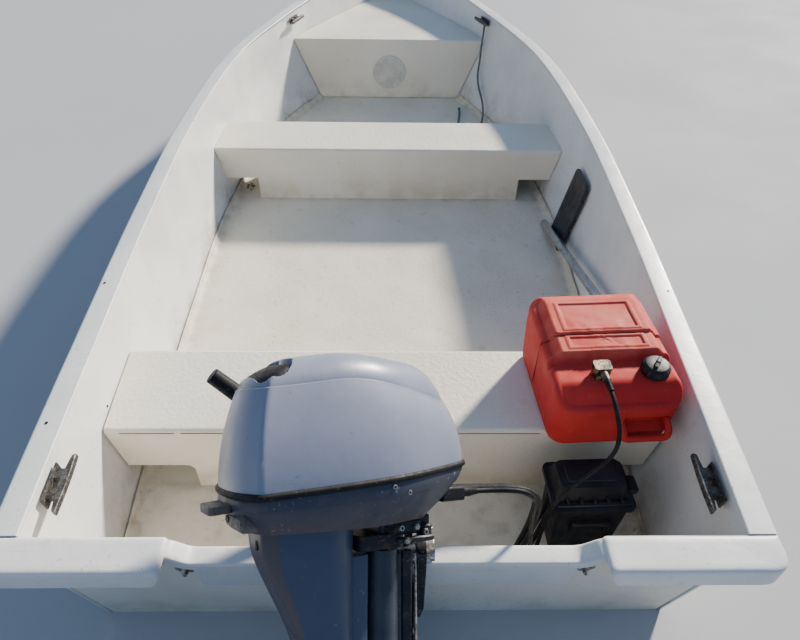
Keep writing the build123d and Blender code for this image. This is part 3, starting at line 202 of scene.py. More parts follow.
# Noise scales are in cycles per metre. A fleck is its scale, where it starts, share, colour, the scale of its bands
# or 0, and softness; a bump is a scale and a depth in metres
finishes = dict(
    gelcoatOutside=dict(
        colour=(0.74, 0.74, 0.72), second=(0.63, 0.64, 0.64), patch=3.5, gloss=(0.28, 0.45),
        flecks=[(160, 0.68, 0.7, (0.30, 0.28, 0.25), 6, 0.03), (38, 0.64, 0.35, (0.50, 0.47, 0.42), 0, 0.1)],
        # Grime-and-shade colour: scum low on the hull, and painted shade under the inner edges of the rails
        grimeAndShade=(0.25, 0.21, 0.16), bump=[(420, 0.0003), (26, 0.0012)],
    ),
    gelcoatInside=dict(
        colour=(0.78, 0.745, 0.66), second=(0.72, 0.67, 0.565), patch=2.6, gloss=(0.42, 0.62),
        flecks=[(150, 0.70, 0.55, (0.34, 0.27, 0.19), 4, 0.03), (30, 0.66, 0.3, (0.58, 0.53, 0.43), 0, 0.12)],
        grimeAndShade=(0.27, 0.20, 0.12), bump=[(260, 0.0016), (75, 0.0036)],
        # Low: a brown stain with painted shade, fading out 16 cm up the transom, thwarts, bench and inner hull
        low=dict({"from": 0.01, "to": 0.16}, share=0.5, colour=(0.45, 0.38, 0.27)),
    ),
    soleFinish=dict(
        colour=(0.72, 0.675, 0.58), second=(0.65, 0.60, 0.49), patch=3.2, gloss=(0.5, 0.7),
        flecks=[(120, 0.66, 0.75, (0.22, 0.16, 0.10), 3, 0.03), (22, 0.62, 0.4, (0.46, 0.40, 0.30), 0, 0.14)],
        # Grime-and-shade colour: dirt in the well, and dirt with painted shade in the corners and along standing faces
        grimeAndShade=(0.20, 0.15, 0.09), bump=[(210, 0.0024), (60, 0.0024)],
    ),
    platePlastic=dict(
        colour=(0.62, 0.60, 0.55), second=(0.50, 0.49, 0.46), patch=22, gloss=(0.4, 0.6),
        flecks=[(90, 0.62, 0.5, (0.28, 0.26, 0.23), 0, 0.03)], bump=[(300, 0.0004), (60, 0.0006)],
    ),
    darkFittings=dict(
        colour=(0.035, 0.033, 0.032), second=(0.10, 0.095, 0.09), patch=60, gloss=(0.35, 0.65), metal=0.4,
        flecks=[(240, 0.58, 0.6, (0.22, 0.20, 0.18), 0, 0.03)], bump=[(400, 0.0006), (90, 0.0008)],
    ),
    brassPlug=dict(
        colour=(0.36, 0.25, 0.10), second=(0.20, 0.14, 0.07), patch=80, gloss=(0.3, 0.6), metal=0.9,
        bump=[(300, 0.0004)],
    ),
    cowlPaint=dict(
        colour=(0.225, 0.243, 0.315), second=(0.198, 0.216, 0.285), patch=6, gloss=(0.30, 0.46), coat=0.15,
        coatRough=0.25, shine=0.4,
        flecks=[(110, 0.70, 0.6, (0.10, 0.12, 0.17), 7, 0.03), (26, 0.64, 0.3, (0.30, 0.32, 0.38), 0, 0.15)],
        # Its grime-and-shade colour is near black: painted shade inside the intake
        grimeAndShade=(0.006, 0.006, 0.007), ragged=False, bump=[(500, 0.0002), (18, 0.0008)],
    ),
    lowerPaint=dict(
        colour=(0.036, 0.044, 0.070), second=(0.056, 0.056, 0.070), patch=9, gloss=(0.32, 0.55), shine=0.3,
        flecks=[(130, 0.66, 0.6, (0.25, 0.24, 0.24), 8, 0.03), (40, 0.60, 0.4, (0.10, 0.085, 0.075), 0, 0.12)],
        grimeAndShade=(0.11, 0.085, 0.065), grimeScale=60, bump=[(450, 0.0003), (25, 0.0008)],
    ),
    legPaint=dict(
        colour=(0.048, 0.070, 0.122), second=(0.058, 0.074, 0.116), patch=7, gloss=(0.30, 0.48), shine=0.35,
        flecks=[(120, 0.68, 0.6, (0.20, 0.19, 0.19), 7, 0.03), (30, 0.62, 0.35, (0.06, 0.06, 0.075), 0, 0.12)],
        grimeAndShade=(0.085, 0.072, 0.080), ragged=False, bump=[(400, 0.0003), (20, 0.0009)],
    ),
    bareMetal=dict(
        colour=(0.42, 0.41, 0.40), second=(0.24, 0.22, 0.20), patch=50, gloss=(0.22, 0.5), metal=0.85,
        flecks=[(150, 0.60, 0.6, (0.16, 0.09, 0.05), 0, 0.03)], bump=[(350, 0.0004)],
    ),
    fittingMetal=dict(
        colour=(0.020, 0.018, 0.015), second=(0.26, 0.21, 0.13), patch=70, gloss=(0.3, 0.55), metal=0.6,
        flecks=[(260, 0.55, 0.8, (0.015, 0.014, 0.013), 0, 0.03)], bump=[(320, 0.0006), (110, 0.0008)],
    ),
    zincMetal=dict(
        colour=(0.36, 0.36, 0.37), second=(0.22, 0.22, 0.23), patch=70, gloss=(0.45, 0.7), metal=0.5,
        bump=[(260, 0.0008), (60, 0.001)],
    ),
    motorDark=dict(
        colour=(0.010, 0.011, 0.014), second=(0.024, 0.025, 0.029), patch=22, gloss=(0.35, 0.65), shine=0.3,
        flecks=[(170, 0.62, 0.6, (0.18, 0.15, 0.13), 14, 0.03), (50, 0.60, 0.5, (0.09, 0.055, 0.035), 0, 0.1)],
        bump=[(380, 0.0005), (60, 0.0010)],
    ),
    woodCrumb=dict(
        colour=(0.16, 0.085, 0.04), second=(0.30, 0.20, 0.11), patch=90, gloss=(0.8, 0.95), bump=[(300, 0.001)],
    ),
    agedSteel=dict(
        colour=(0.42, 0.41, 0.40), second=(0.20, 0.17, 0.15), patch=60, gloss=(0.28, 0.5), metal=0.8,
        flecks=[(160, 0.56, 0.8, (0.16, 0.08, 0.045), 0, 0.06)], bump=[(260, 0.0006)],
    ),
    swivelPaint=dict(
        colour=(0.018, 0.024, 0.038), second=(0.030, 0.036, 0.050), patch=16, gloss=(0.22, 0.42), shine=0.5,
        flecks=[(150, 0.62, 0.6, (0.13, 0.10, 0.08), 14, 0.03)], bump=[(380, 0.0004), (60, 0.0008)],
    ),
    # Black rubber, and the dark colour of the painted shade in the intake, the screw holes and the outlet holes
    rubber=dict(
        colour=(0.006, 0.006, 0.007), second=(0.013, 0.013, 0.015), patch=40, gloss=(0.50, 0.70), shine=0.2,
        flecks=[(200, 0.66, 0.5, (0.09, 0.085, 0.08), 0, 0.03)], bump=[(520, 0.0002)],
    ),
    blackPlastic=dict(
        colour=(0.007, 0.007, 0.010), second=(0.014, 0.014, 0.019), patch=18, gloss=(0.38, 0.6), shine=0.3,
        flecks=[(140, 0.66, 0.5, (0.07, 0.065, 0.06), 12, 0.03)], bump=[(700, 0.0004), (90, 0.0004)],
    ),
    tankRed=dict(
        colour=(0.45, 0.022, 0.020), second=(0.50, 0.036, 0.032), patch=7, gloss=(0.54, 0.72), shine=0.14,
        flecks=[(60, 0.62, 0.3, (0.56, 0.08, 0.07), 0, 0.12)],
        grimeAndShade=(0.60, 0.105, 0.075), grimeScale=14, bump=[(650, 0.0003), (34, 0.0010)],
    ),
    tankShade=dict(
        colour=(0.13, 0.012, 0.010), second=(0.17, 0.018, 0.014), patch=20, gloss=(0.6, 0.8), bump=[(300, 0.0002)],
    ),
    agedMetal=dict(
        colour=(0.085, 0.075, 0.070), second=(0.15, 0.125, 0.105), patch=45, gloss=(0.45, 0.7), shine=0.3,
        flecks=[(120, 0.55, 0.7, (0.20, 0.15, 0.11), 0, 0.1)], bump=[(220, 0.0010), (60, 0.0014)],
    ),
    bladePlastic=dict(
        colour=(0.010, 0.012, 0.018), second=(0.020, 0.022, 0.030), patch=14, gloss=(0.3, 0.5),
        flecks=[(90, 0.70, 0.5, (0.12, 0.12, 0.12), 10, 0.03)], bump=[(420, 0.0003), (20, 0.0006)],
    ),
    poleMetal=dict(
        colour=(0.52, 0.52, 0.53), second=(0.38, 0.38, 0.39), patch=16, gloss=(0.25, 0.45), metal=0.9,
        flecks=[(130, 0.60, 0.5, (0.20, 0.19, 0.18), 0, 0.03)], bump=[(300, 0.0003)],
    ),
    ropeFibre=dict(
        colour=(0.16, 0.16, 0.17), second=(0.09, 0.09, 0.10), patch=60, gloss=(0.7, 0.9),
        bump=[(800, 0.0006), (220, 0.0008)],
    ),
    floorPaper=dict(
        colour=(0.42, 0.43, 0.45), second=(0.40, 0.41, 0.43), patch=0.6, gloss=(0.75, 0.85), shine=0.2,
        bump=[(60, 0.0001)],
    ),
)
finish = {name: nodeFinish(name, values) for name, values in finishes.items()}
print("finishes made:", len(finish))


# Mesh of the solid's points and faces, shaded smooth up to the angle sharp, riding on the body
def makePiece(name, solid, look, body="hull", stands=(), sharp=40, recalculate=True):
    points, faces = solid
    mesh = bpy.data.meshes.new(name)
    mesh.from_pydata(np.asarray(points).tolist(), [], [list(map(int, f)) for f in faces])
    if recalculate:
        work = bmesh.new()
        work.from_mesh(mesh)
        bmesh.ops.remove_doubles(work, verts=work.verts, dist=1e-6)
        bmesh.ops.recalc_face_normals(work, faces=work.faces)
        work.to_mesh(mesh)
        work.free()
    mesh.shade_smooth()
    mesh.set_sharp_from_angle(angle=math.radians(sharp))
    for entry in look if isinstance(look, list) else [look]:
        mesh.materials.append(finish[entry])
    piece = addObject(name, mesh)
    if body:
        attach(piece, body)
    if stands:
        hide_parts(*stands)
    return piece


# Quads between neighbouring rows and columns of a grid, closed round the columns with wrap
def gridFaces(rows, columns, wrap=False):
    r, c = np.meshgrid(np.arange(rows - 1), np.arange(columns if wrap else columns - 1), indexing="ij")
    first = r * columns + c
    second = r * columns + (c + 1) % columns
    return np.stack([first, second, second + columns, first + columns], -1).reshape(-1, 4).tolist()


# Points and faces of an open sheet over a grid of points
def sheet(grid):
    return grid.reshape(-1, 3), gridFaces(*grid.shape[:2])


# Points and faces of closed rings carried one after the other, with a flat face at each end
def ringSolid(rings):
    rings = np.asarray(rings, float)
    count, around = rings.shape[:2]
    ends = [list(range(around))[::-1], [(count - 1) * around + k for k in range(around)]]
    return rings.reshape(-1, 3), gridFaces(count, around, wrap=True) + ends


# Several sets of points and faces as one
def joined(*solids):
    points, faces, start = [], [], 0
    for spots, sides in solids:
        points.append(np.asarray(spots, float).reshape(-1, 3))
        faces += [[k + start for k in side] for side in sides]
        start += len(points[-1])
    return np.concatenate(points), faces


# Solid of a local frame, in millimetres, taken to the boat's frame in metres: origin plus points times axes
def placed(solid, origin=(0, 0, 0), axes=np.eye(3)):
    return (np.asarray(origin) + np.asarray(solid[0]) @ np.asarray(axes)) * mm, solid[1]


# Vectors divided by their lengths
def unit(vectors):
    return vectors / np.maximum(np.linalg.norm(vectors, axis=-1, keepdims=True), 1e-9)


# Ease from 0 at the low value to 1 at the high value: three times the square less twice the cube
def ease(values, low, high):
    t = np.clip((values - low) / (high - low), 0, 1)
    return t * t * (3 - 2 * t)


# Share of values between low and high, each end eased from the distance out of it to the distance into it
def within(values, low, high, out, into):
    return ease(values, low - out, low + into) * ease(-values, -high - out, -high + into)


# Values of several even runs, each given by its first and last value and their number
def runsOf(rows):
    return np.concatenate([np.linspace(*row) for row in rows])


# Distance along a run of points to each of them
def arcLengths(points):
    return np.concatenate([[0], np.cumsum(np.linalg.norm(np.diff(points, axis=0), axis=1))])


# Points at the distances given along a run of points, on straight lines between them
def pointsAt(points, distances):
    reach = arcLengths(points)
    return np.stack([np.interp(distances, reach, column) for column in points.T], 1)


# Closed outline with each corner replaced by a curve: a parabola from a point at distance reach before the
# corner to one as far after it
def roundedOutline(corners, reach, steps=7):
    corners = np.asarray(corners, float)
    before = np.roll(corners, 1, 0) - corners
    after = np.roll(corners, -1, 0) - corners
    reach = np.broadcast_to(np.asarray(reach, float), len(corners))[:, None]
    before *= np.minimum(reach / np.linalg.norm(before, axis=1, keepdims=True), 0.5)
    after *= np.minimum(reach / np.linalg.norm(after, axis=1, keepdims=True), 0.5)
    t = np.linspace(0, 1, steps)[None, :, None]
    curve = corners[:, None] + (1 - t) ** 2 * before[:, None] + t**2 * after[:, None]
    return curve.reshape(-1, corners.shape[1])


# Straight runs joined by parabolas at the corners of an open path, with points no further apart than the step
def roundedPath(corners, reach, step=6, bend=7):
    corners = np.asarray(corners, float)
    reach = np.broadcast_to(np.asarray(reach, float), len(corners))
    points, here = [corners[:1]], corners[0]

    def runTo(stop):
        count = max(int(np.linalg.norm(stop - here) / step), 1)
        points.append(here + np.linspace(0, 1, count + 1)[1:, None] * (stop - here))

    t = np.linspace(0, 1, bend)[1:, None]
    for k in range(1, len(corners) - 1):
        into, out = corners[k] - corners[k - 1], corners[k + 1] - corners[k]
        start = corners[k] - unit(into) * min(reach[k], np.linalg.norm(into) / 2)
        stop = corners[k] + unit(out) * min(reach[k], np.linalg.norm(out) / 2)
        runTo(start)
        points.append((1 - t) ** 2 * start + 2 * t * (1 - t) * corners[k] + t**2 * stop)
        here = stop
    runTo(corners[-1])
    return np.concatenate(points)


# Points set at even steps along a closed outline, starting from its first point
def spread(outline, count):
    closed = np.concatenate([outline, outline[:1]])
    return pointsAt(closed, np.linspace(0, arcLengths(closed)[-1], count, endpoint=False))


# Closed outline with each side cut into equal parts about as long as the step
def subdivided(outline, step):
    runs = []
    for first, second in zip(outline, np.roll(outline, -1, 0)):
        count = max(int(np.linalg.norm(second - first) / step), 1)
        runs.append(first + np.linspace(0, 1, count, endpoint=False)[:, None] * (second - first))
    return np.concatenate(runs)


# Closed outline from the corners and reaches of its right half, mirrored, with points at even steps
def mirrored(right, reach, steps, count):
    corners = right + [(-x, y) for x, y in reversed(right)]
    return spread(roundedOutline(corners, reach + reach[::-1], steps), count)


# Rounded rectangle about a middle
def plate(width, length, corner, middle=(0, 0), steps=6):
    x, y = width / 2, length / 2
    return roundedOutline([(-x, -y), (x, -y), (x, y), (-x, y)], corner, steps) + np.asarray(middle, float)


# Closed counterclockwise plane outline moved inwards along the mean normal of its neighbours
def insetOutline(outline, distance):
    along = unit(unit(np.roll(outline, -1, 0) - outline) + unit(outline - np.roll(outline, 1, 0)))
    return outline + np.stack([-along[:, 1], along[:, 0]], 1) * distance


# Closed plane outline drawn in from every side by scaling each axis about its middle
def shrunk(outline, distance):
    low, high = outline.min(0), outline.max(0)
    middle = (low + high) / 2
    return middle + (outline - middle) * (1 - 2 * distance / (high - low))


# Plane outline at a height, or at a height for each point, as points in space
def lift(outline, height):
    return np.column_stack([outline, np.broadcast_to(np.asarray(height, float), len(outline))])


# Solid of a plane outline carried from one height to another, its edges bevelled
def slab(outline, low, high, bevel=1.5):
    outline = np.asarray(outline, float)
    small = insetOutline(outline, bevel)
    return ringSolid([lift(small, low), lift(outline, low + bevel), lift(outline, high - bevel), lift(small, high)])


# Rounded blocks as one, each row giving width, length, corner, middle, low, high and bevel
def blocks(rows):
    return joined(*[slab(plate(*row[:4]), *row[4:]) for row in rows])


# Solid of revolution: a closed profile of radius and height, with ribs that swell the radius by a cosine
def turned(profile, around=64, ribs=0, ribDepth=0.0, ribbed=()):
    angle = np.linspace(0, 2 * math.pi, around, endpoint=False)
    rings = []
    for k, (radius, height) in enumerate(profile):
        reach = radius + (ribDepth if k in ribbed else 0) * np.cos(ribs * angle)
        rings.append(lift(np.column_stack([reach * np.cos(angle), reach * np.sin(angle)]), height))
    return ringSolid(rings)


# Round head or pin about the third axis of its frame, its end drawn in, or hollowed where a socket is given
def pin(radius, height, around=20, socket=0):
    profile = [(radius, 0), (radius, height * 0.7), (radius * 0.85, height * 0.93), (radius * 0.6, height)]
    if socket:
        profile += [(socket, height), (socket * 0.95, height * 0.45), (socket * 0.2, height * 0.45)]
    else:
        profile += [(radius * 0.2, height)]
    return turned(profile, around)


# Copies of a head that stand out of a frame's sides along its first axis, at each x, y and z
def heads(head, spots, origin, axes, sides=(-1, 1)):
    x, y, z = np.asarray(axes, float)
    spots = [(side, origin + np.asarray(spot) * [side, 1, 1] @ axes) for side in sides for spot in spots]
    return joined(*[placed(head, spot, [y * side, z, x * side]) for side, spot in spots])


# Round tube along a line of points, its frame turned as little as possible
def tubeAlong(line, radius, around=16):
    line = np.asarray(line, float)
    along = unit(np.gradient(line, axis=0))
    first = np.cross(along[0], [0, 0, 1] if abs(along[0][2]) < 0.9 else [1, 0, 0])
    sides = []
    for direction in along:
        first = unit(first - direction * (first @ direction))
        sides.append(first)
    sides = np.asarray(sides)
    other = np.cross(along, sides)
    angle = np.linspace(0, 2 * math.pi, around, endpoint=False)[None, :, None]
    return ringSolid(line[:, None] + radius * (sides[:, None] * np.cos(angle) + other[:, None] * np.sin(angle)))


# Axes of a frame turned about the vertical
def turnFrame(degreesTurned):
    a = math.radians(degreesTurned)
    return np.array([[math.cos(a), math.sin(a), 0], [-math.sin(a), math.cos(a), 0], [0, 0, 1]])


# Frame whose third axis is the direction given and whose first is square to it and level, or near that
def axesAlong(direction):
    third = unit(np.asarray(direction, float))
    first = unit(np.cross([0.0, 0.0, 1.0] if abs(third[2]) < 0.9 else [1.0, 0.0, 0.0], third))
    return np.stack([first, np.cross(third, first), third])


# Smooth random field from -1 to 1: random values on a coarse lattice joined by a cosine ease
def softNoise(shape, cells, seed):
    draw = np.random.default_rng(seed).uniform(-1, 1, (cells[0] + 2, cells[1] + 2))
    u = np.linspace(0, cells[0], shape[0])[:, None]
    v = np.linspace(0, cells[1], shape[1])[None, :]
    i, j = u.astype(int), v.astype(int)
    s, t = (1 - np.cos(np.pi * (u - i))) / 2, (1 - np.cos(np.pi * (v - j))) / 2
    return (
        draw[i, j] * (1 - s) * (1 - t) + draw[i + 1, j] * s * (1 - t)
        + draw[i, j + 1] * (1 - s) * t + draw[i + 1, j + 1] * s * t
    )


# Point attribute that the finish reads as grime and painted shade
def paintPoints(piece, values):
    layer = piece.data.attributes.new("grimeAndShade", "FLOAT", "POINT")
    layer.data.foreach_set("value", np.clip(values, 0, 1).astype(np.float32).ravel())


# Points of a mesh as an array, in millimetres
def pointsOf(mesh):
    spots = np.empty(len(mesh.vertices) * 3)
    mesh.vertices.foreach_get("co", spots)
    return spots.reshape(-1, 3) / mm


# Wall of a thickness inside a sheet, its inner side with the look so many places further on
def thicken(piece, thickness, lookStep=0, even=False):
    wall = piece.modifiers.new("wall", "SOLIDIFY")
    wall.thickness = thickness * mm
    wall.offset = -1
    wall.material_offset = lookStep
    wall.use_even_offset = even


fit = 0.3  # gap left between pieces that are seated
soleZ, boxHeight, deckZ = 8, 176, 172  # heights of the sole, the battery box and the tank's deck

# The motor as it rests: degrees of tilt and steering, the tilt tube's middle and the steering axis aft of it
restPose = dict(tilt=50, steer=60, tube=(-9, -2024.5, 366), steerAft=64.5)
tilt, steer = math.radians(restPose["tilt"]), math.radians(restPose["steer"])
tiltOrigin = np.array(restPose["tube"])
tiltedY = np.array([0, math.cos(tilt), -math.sin(tilt)])
motorZ = np.array([0, math.sin(tilt), math.cos(tilt)])
motorX = np.array([1, 0, 0]) * math.cos(steer) - tiltedY * math.sin(steer)
motorY = np.array([1, 0, 0]) * math.sin(steer) + tiltedY * math.cos(steer)
motorOrigin = tiltOrigin - restPose["steerAft"] * tiltedY
motorAxes = np.stack([motorX, motorY, motorZ])
tiltedAxes = np.stack([[1, 0, 0], tiltedY, motorZ])
tankAxes = turnFrame(3.5)
tankOrigin = np.array([522, -1520, 240 + fit])


# Point of the motor's frame in the boat's frame
def motorPoint(x, y, z):
    return motorOrigin + np.array([x, y, z]) @ motorAxes


# Point of the tank's frame in the boat's frame
def tankPoint(x, y, z):
    return tankOrigin + np.array([x, y, z]) @ tankAxes


# Points from below over a shoulder to the meeting, each turn a third of a right angle
def arch(meeting, reach, drop):
    over = meeting + [reach, 0, 0]
    crest = over + [reach * math.cos(math.pi / 6), 0, -reach / 2]
    shoulder = crest + [reach / 2, 0, -reach * math.cos(math.pi / 6)]
    return [shoulder - [0, 0, drop], shoulder, crest, over, meeting]


# Ends of the cords: the tank fitting's nose, the sockets on the lower cowl and the battery lid's brim
partingX = 220  # breadth at which each cord parts from its motor end
couplingBack, couplingZ = 102, 112
fittingNose = tankPoint(-38, -132 - fit, deckZ + fit + 21)
couplingNose = motorPoint(30, couplingBack + 64 + fit, couplingZ)
hoseBend = couplingNose + motorY * 34
hoseMeeting = np.array([partingX, hoseBend[1], hoseBend[2]])
brimZ = soleZ + boxHeight + fit

# Cords: width, body, the points that the spline leans on, and for the sleeve where the cord leaves a housing its
# point, direction, radii and length
cordRoutes = {
    "fuel_hose": dict(
        width=10, body="hull", sleeve=(fittingNose, -tankAxes[1], 8.2, 5.7, 30),
        points=[
            fittingNose, fittingNose - tankAxes[1] * 52, (508, -1768, 372), (492, -1784, 318),
            (450, -1794, 272), (402, -1816, 248), (368, -1836, 204), (362, -1842, 140), (362, -1842, 48),
            (345, -1871, 14), (321, -1913, 14), (304, -1942, 48), (308, -1942, 108), (308, -1940, 166),
            (303, -1937, 224), (296, -1934, 282), *arch(hoseMeeting, 30, 50),
        ],
    ),
    "fuel_hose_motor": dict(
        width=10, body="motor", sleeve=(couplingNose, motorY, 9.0, 5.7, 26),
        points=[hoseMeeting - [fit, 0, 0], hoseBend, couplingNose],
    ),
}
cableRows = {
    "battery_cable_aft": dict(
        socketX=-14, reach=38,
        run=[
            (384, -1800, brimZ), (384, -1800, 132), (374, -1800, 55), (348, -1832, 15), (315, -1877, 15),
            (291, -1909, 55), (293, -1909, 117), (299, -1910, 177), (307, -1910, 236),
        ],
    ),
    "battery_cable_fore": dict(
        socketX=-38, reach=36,
        run=[
            (384, -1778, brimZ), (384, -1778, 132), (368, -1784, 55), (342, -1816, 15), (309, -1861, 15),
            (285, -1893, 55), (287, -1894, 111), (293, -1895, 167), (301, -1896, 224),
        ],
    ),
}
downward = np.array([0, 0, -1.0])
for label, row in cableRows.items():
    socket = motorPoint(row["socketX"], couplingBack + 54 + fit, couplingZ)
    bend = socket + motorY * 40
    meeting = np.array([partingX, bend[1], bend[2]])
    cordRoutes[label] = dict(
        width=12, body="hull", sleeve=(row["run"][0], downward, 7.0, 6.3, 24),
        points=[*row["run"], *arch(meeting, row["reach"], 58)],
    )
    cordRoutes[label + "_motor"] = dict(
        width=12, body="motor", sleeve=(socket, motorY, 9.5, 6.6, 28), points=[meeting - [fit, 0, 0], bend, socket],
    )


# Data of a quadratic spline that starts and ends on its first and last points
def splineData(name, points, steps):
    data = bpy.data.curves.new(name, "CURVE")
    data.dimensions = "3D"
    data.resolution_u = steps
    spline = data.splines.new("NURBS")
    spline.points.add(len(points) - 1)
    for target, spot in zip(spline.points, points):
        target.co = (*(np.asarray(spot, float) * mm), 1)
    spline.order_u = 3
    spline.use_endpoint_u = True
    return data


# Round cord along a spline, riding on the body
def routeCurve(name, points, width, body):
    data = splineData(name, points, 10)
    data.bevel_depth = width / 2 * mm
    data.bevel_resolution = 5
    data.use_fill_caps = True
    data.materials.append(finish["rubber"])
    piece = addObject(name, data)
    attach(piece, body)
    return piece


# Points along a route's spline, in millimetres, as Blender gives them for a bare curve
def routeLine(points):
    holder = addObject("line", splineData("line", points, 12))
    bpy.context.view_layer.update()
    mesh = bpy.data.meshes.new_from_object(holder.evaluated_get(bpy.context.evaluated_depsgraph_get()))
    spots = pointsOf(mesh)
    bpy.data.objects.remove(holder)
    bpy.data.meshes.remove(mesh)
    return spots


sleeveForm = dict(collar=4, tail=2, ribs=5, groove=0.5, swell=0.15)


# Sleeve where a cord leaves a housing: from the wide radius to the narrow one in even ribs, each with a groove
def makeSleeve(name, place, direction, wide, narrow, reach, body):
    profile = [(narrow * 0.7, 0), (wide, 0.4), (wide, sleeveForm["collar"])]
    for k in range(1, sleeveForm["ribs"] + 1):
        share = k / sleeveForm["ribs"]
        z = sleeveForm["collar"] + (reach - sleeveForm["collar"] - sleeveForm["tail"]) * share
        radius = wide + (narrow - wide) * share
        crest = radius + sleeveForm["swell"]
        profile += [(radius - sleeveForm["groove"], z - 1.6), (crest, z - 1.2), (crest, z)]
    profile += [(narrow * 0.96, reach), (narrow * 0.7, reach)]
    solid = placed(turned(profile, 24), place, axesAlong(direction))
    return makePiece(name, solid, "rubber", body=body)


for label, row in cordRoutes.items():
    stem = label.replace("_", "")
    sleeve = makeSleeve(stem + "Sleeve", *row["sleeve"], row["body"])
    piece = routeCurve(stem + "Run", row["points"], row["width"], row["body"])
    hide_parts(label)
    length = arcLengths(routeLine(row["points"]))[-1]
    print(label, "length", round(length))


hullForm = dict(
    columns=("y", "gunwale", "sheer", "knuckle", "knuckleZ", "chine", "chineZ", "keelZ"),
    rows=[
        (-2110, 727, 388, 661, 240, 613, -30, -130),
        (-1800, 749, 393, 685, 240, 638, -31, -133),
        (-1510, 767, 397, 706, 240, 658, -32, -135),
        (-900, 798, 409, 736, 240, 682, -32, -138),
        (-280, 808, 423, 745, 243, 682, -30, -138),
        (430, 752, 443, 684, 262, 596, -18, -132),
        (1020, 578, 465, 518, 325, 388, 12, -112),
        (1400, 428, 479, 352, 370, 234, 70, -62),
        (1720, 262, 491, 187, 412, 100, 160, 30),
        (1960, 106, 501, 49, 455, 24, 318, 200),
        (2052, 63, 501, 12, 462, 10, 432, 412),
    ],
    topInset=49,  # from the rail's edge to the skin's outside
    rimGap=5.6,  # from the sheer down to the skin's top
    skin=6,
    transomY=-2001, ledgeZ=345, rake=math.radians(8), transomBack=20.2,
    chineReach=(0.05, 0.12), knuckleReach=(0.20, 0.30),
    stations=[(-2021.2, -1900, 7), (-1860, 1700, 78), (1725, 2052, 17), (2054.5, 2056, 2)],
    stemShares=(0.62, 0.05), stemHeight=0.96,  # breadths and height that the last rows keep
    unevenness=1.1,
    scum=dict(top=60, depth=90, streakTop=190, streakDepth=200, streaks=0.55, share=0.8),
)
hullTable = np.array(hullForm["rows"], float)


# Rows of a table at the values given for its first column: a cubic through the two rows beside each value,
# with each slope taken from the rows before and after it
def rowsAt(table, values):
    values = np.asarray(values, float).reshape(-1)
    last = len(table) - 2
    index = np.clip(np.searchsorted(table[:, 0], values, side="right") - 1, 0, last)
    low, high = table[index], table[index + 1]
    before, after = table[np.maximum(index - 1, 0)], table[np.minimum(index + 2, last + 1)]
    span = (high - low)[:, :1]
    t = (values - low[:, 0])[:, None] / span
    slopeLow = (high - before) / (high - before)[:, :1]
    slopeHigh = (after - low) / (after - low)[:, :1]
    return (
        (2 * t**3 - 3 * t**2 + 1) * low + (t**3 - 2 * t**2 + t) * span * slopeLow
        + (3 * t**2 - 2 * t**3) * high + (t**3 - t**2) * span * slopeHigh
    )


# Sizes of the hull's section at y, by name
def hullAt(y):
    return dict(zip(hullForm["columns"], rowsAt(hullTable, y).T))


# Half breadth of the hull's wall at y and z: on the line from chine to knuckle or from knuckle to top,
# less the inset measured square to that line
def wallX(y, z, inset):
    row = hullAt(y)
    z = np.broadcast_to(np.asarray(z, float), row["y"].shape)
    upper = z > row["knuckleZ"]
    topX = row["gunwale"] - hullForm["topInset"]
    x1, z1 = np.where(upper, row["knuckle"], row["chine"]), np.where(upper, row["knuckleZ"], row["chineZ"])
    x2, z2 = np.where(upper, topX, row["knuckle"]), np.where(upper, row["sheer"], row["knuckleZ"])
    slope = (x2 - x1) / (z2 - z1)
    return x1 + slope * (z - z1) - inset * np.sqrt(1 + slope**2)


# Weights of the keel, chine, knuckle and top corners along half a section: straight runs, and at the chine
# and the knuckle a parabola between the points that the reaches leave on the two edges
def sectionWeights(chineReach, knuckleReach, straight=9, bend=7):
    corner = np.eye(4)
    stops = [
        corner[0],
        corner[1] + chineReach[0] * (corner[0] - corner[1]),
        corner[1] + chineReach[1] * (corner[2] - corner[1]),
        corner[2] + knuckleReach[0] * (corner[1] - corner[2]),
        corner[2] + knuckleReach[1] * (corner[3] - corner[2]),
        corner[3],
    ]
    t = np.linspace(0, 1, straight, endpoint=False)[:, None]
    s = np.linspace(0, 1, bend, endpoint=False)[:, None]
    parts = []
    for first, second in ((0, 1), (2, 3), (4, 5)):
        parts.append(stops[first] + t * (stops[second] - stops[first]))
        if second < 5:
            middle = corner[(second + 1) // 2]
            parts.append((1 - s) ** 2 * stops[second] + 2 * s * (1 - s) * middle + s**2 * stops[second + 1])
    return np.concatenate([*parts, corner[3:]])


# Place on the transom's fore face at a height: further aft by the rake's tangent for each millimetre higher
def rakedY(z):
    return hullForm["transomY"] - np.tan(hullForm["rake"]) * (z - hullForm["ledgeZ"])


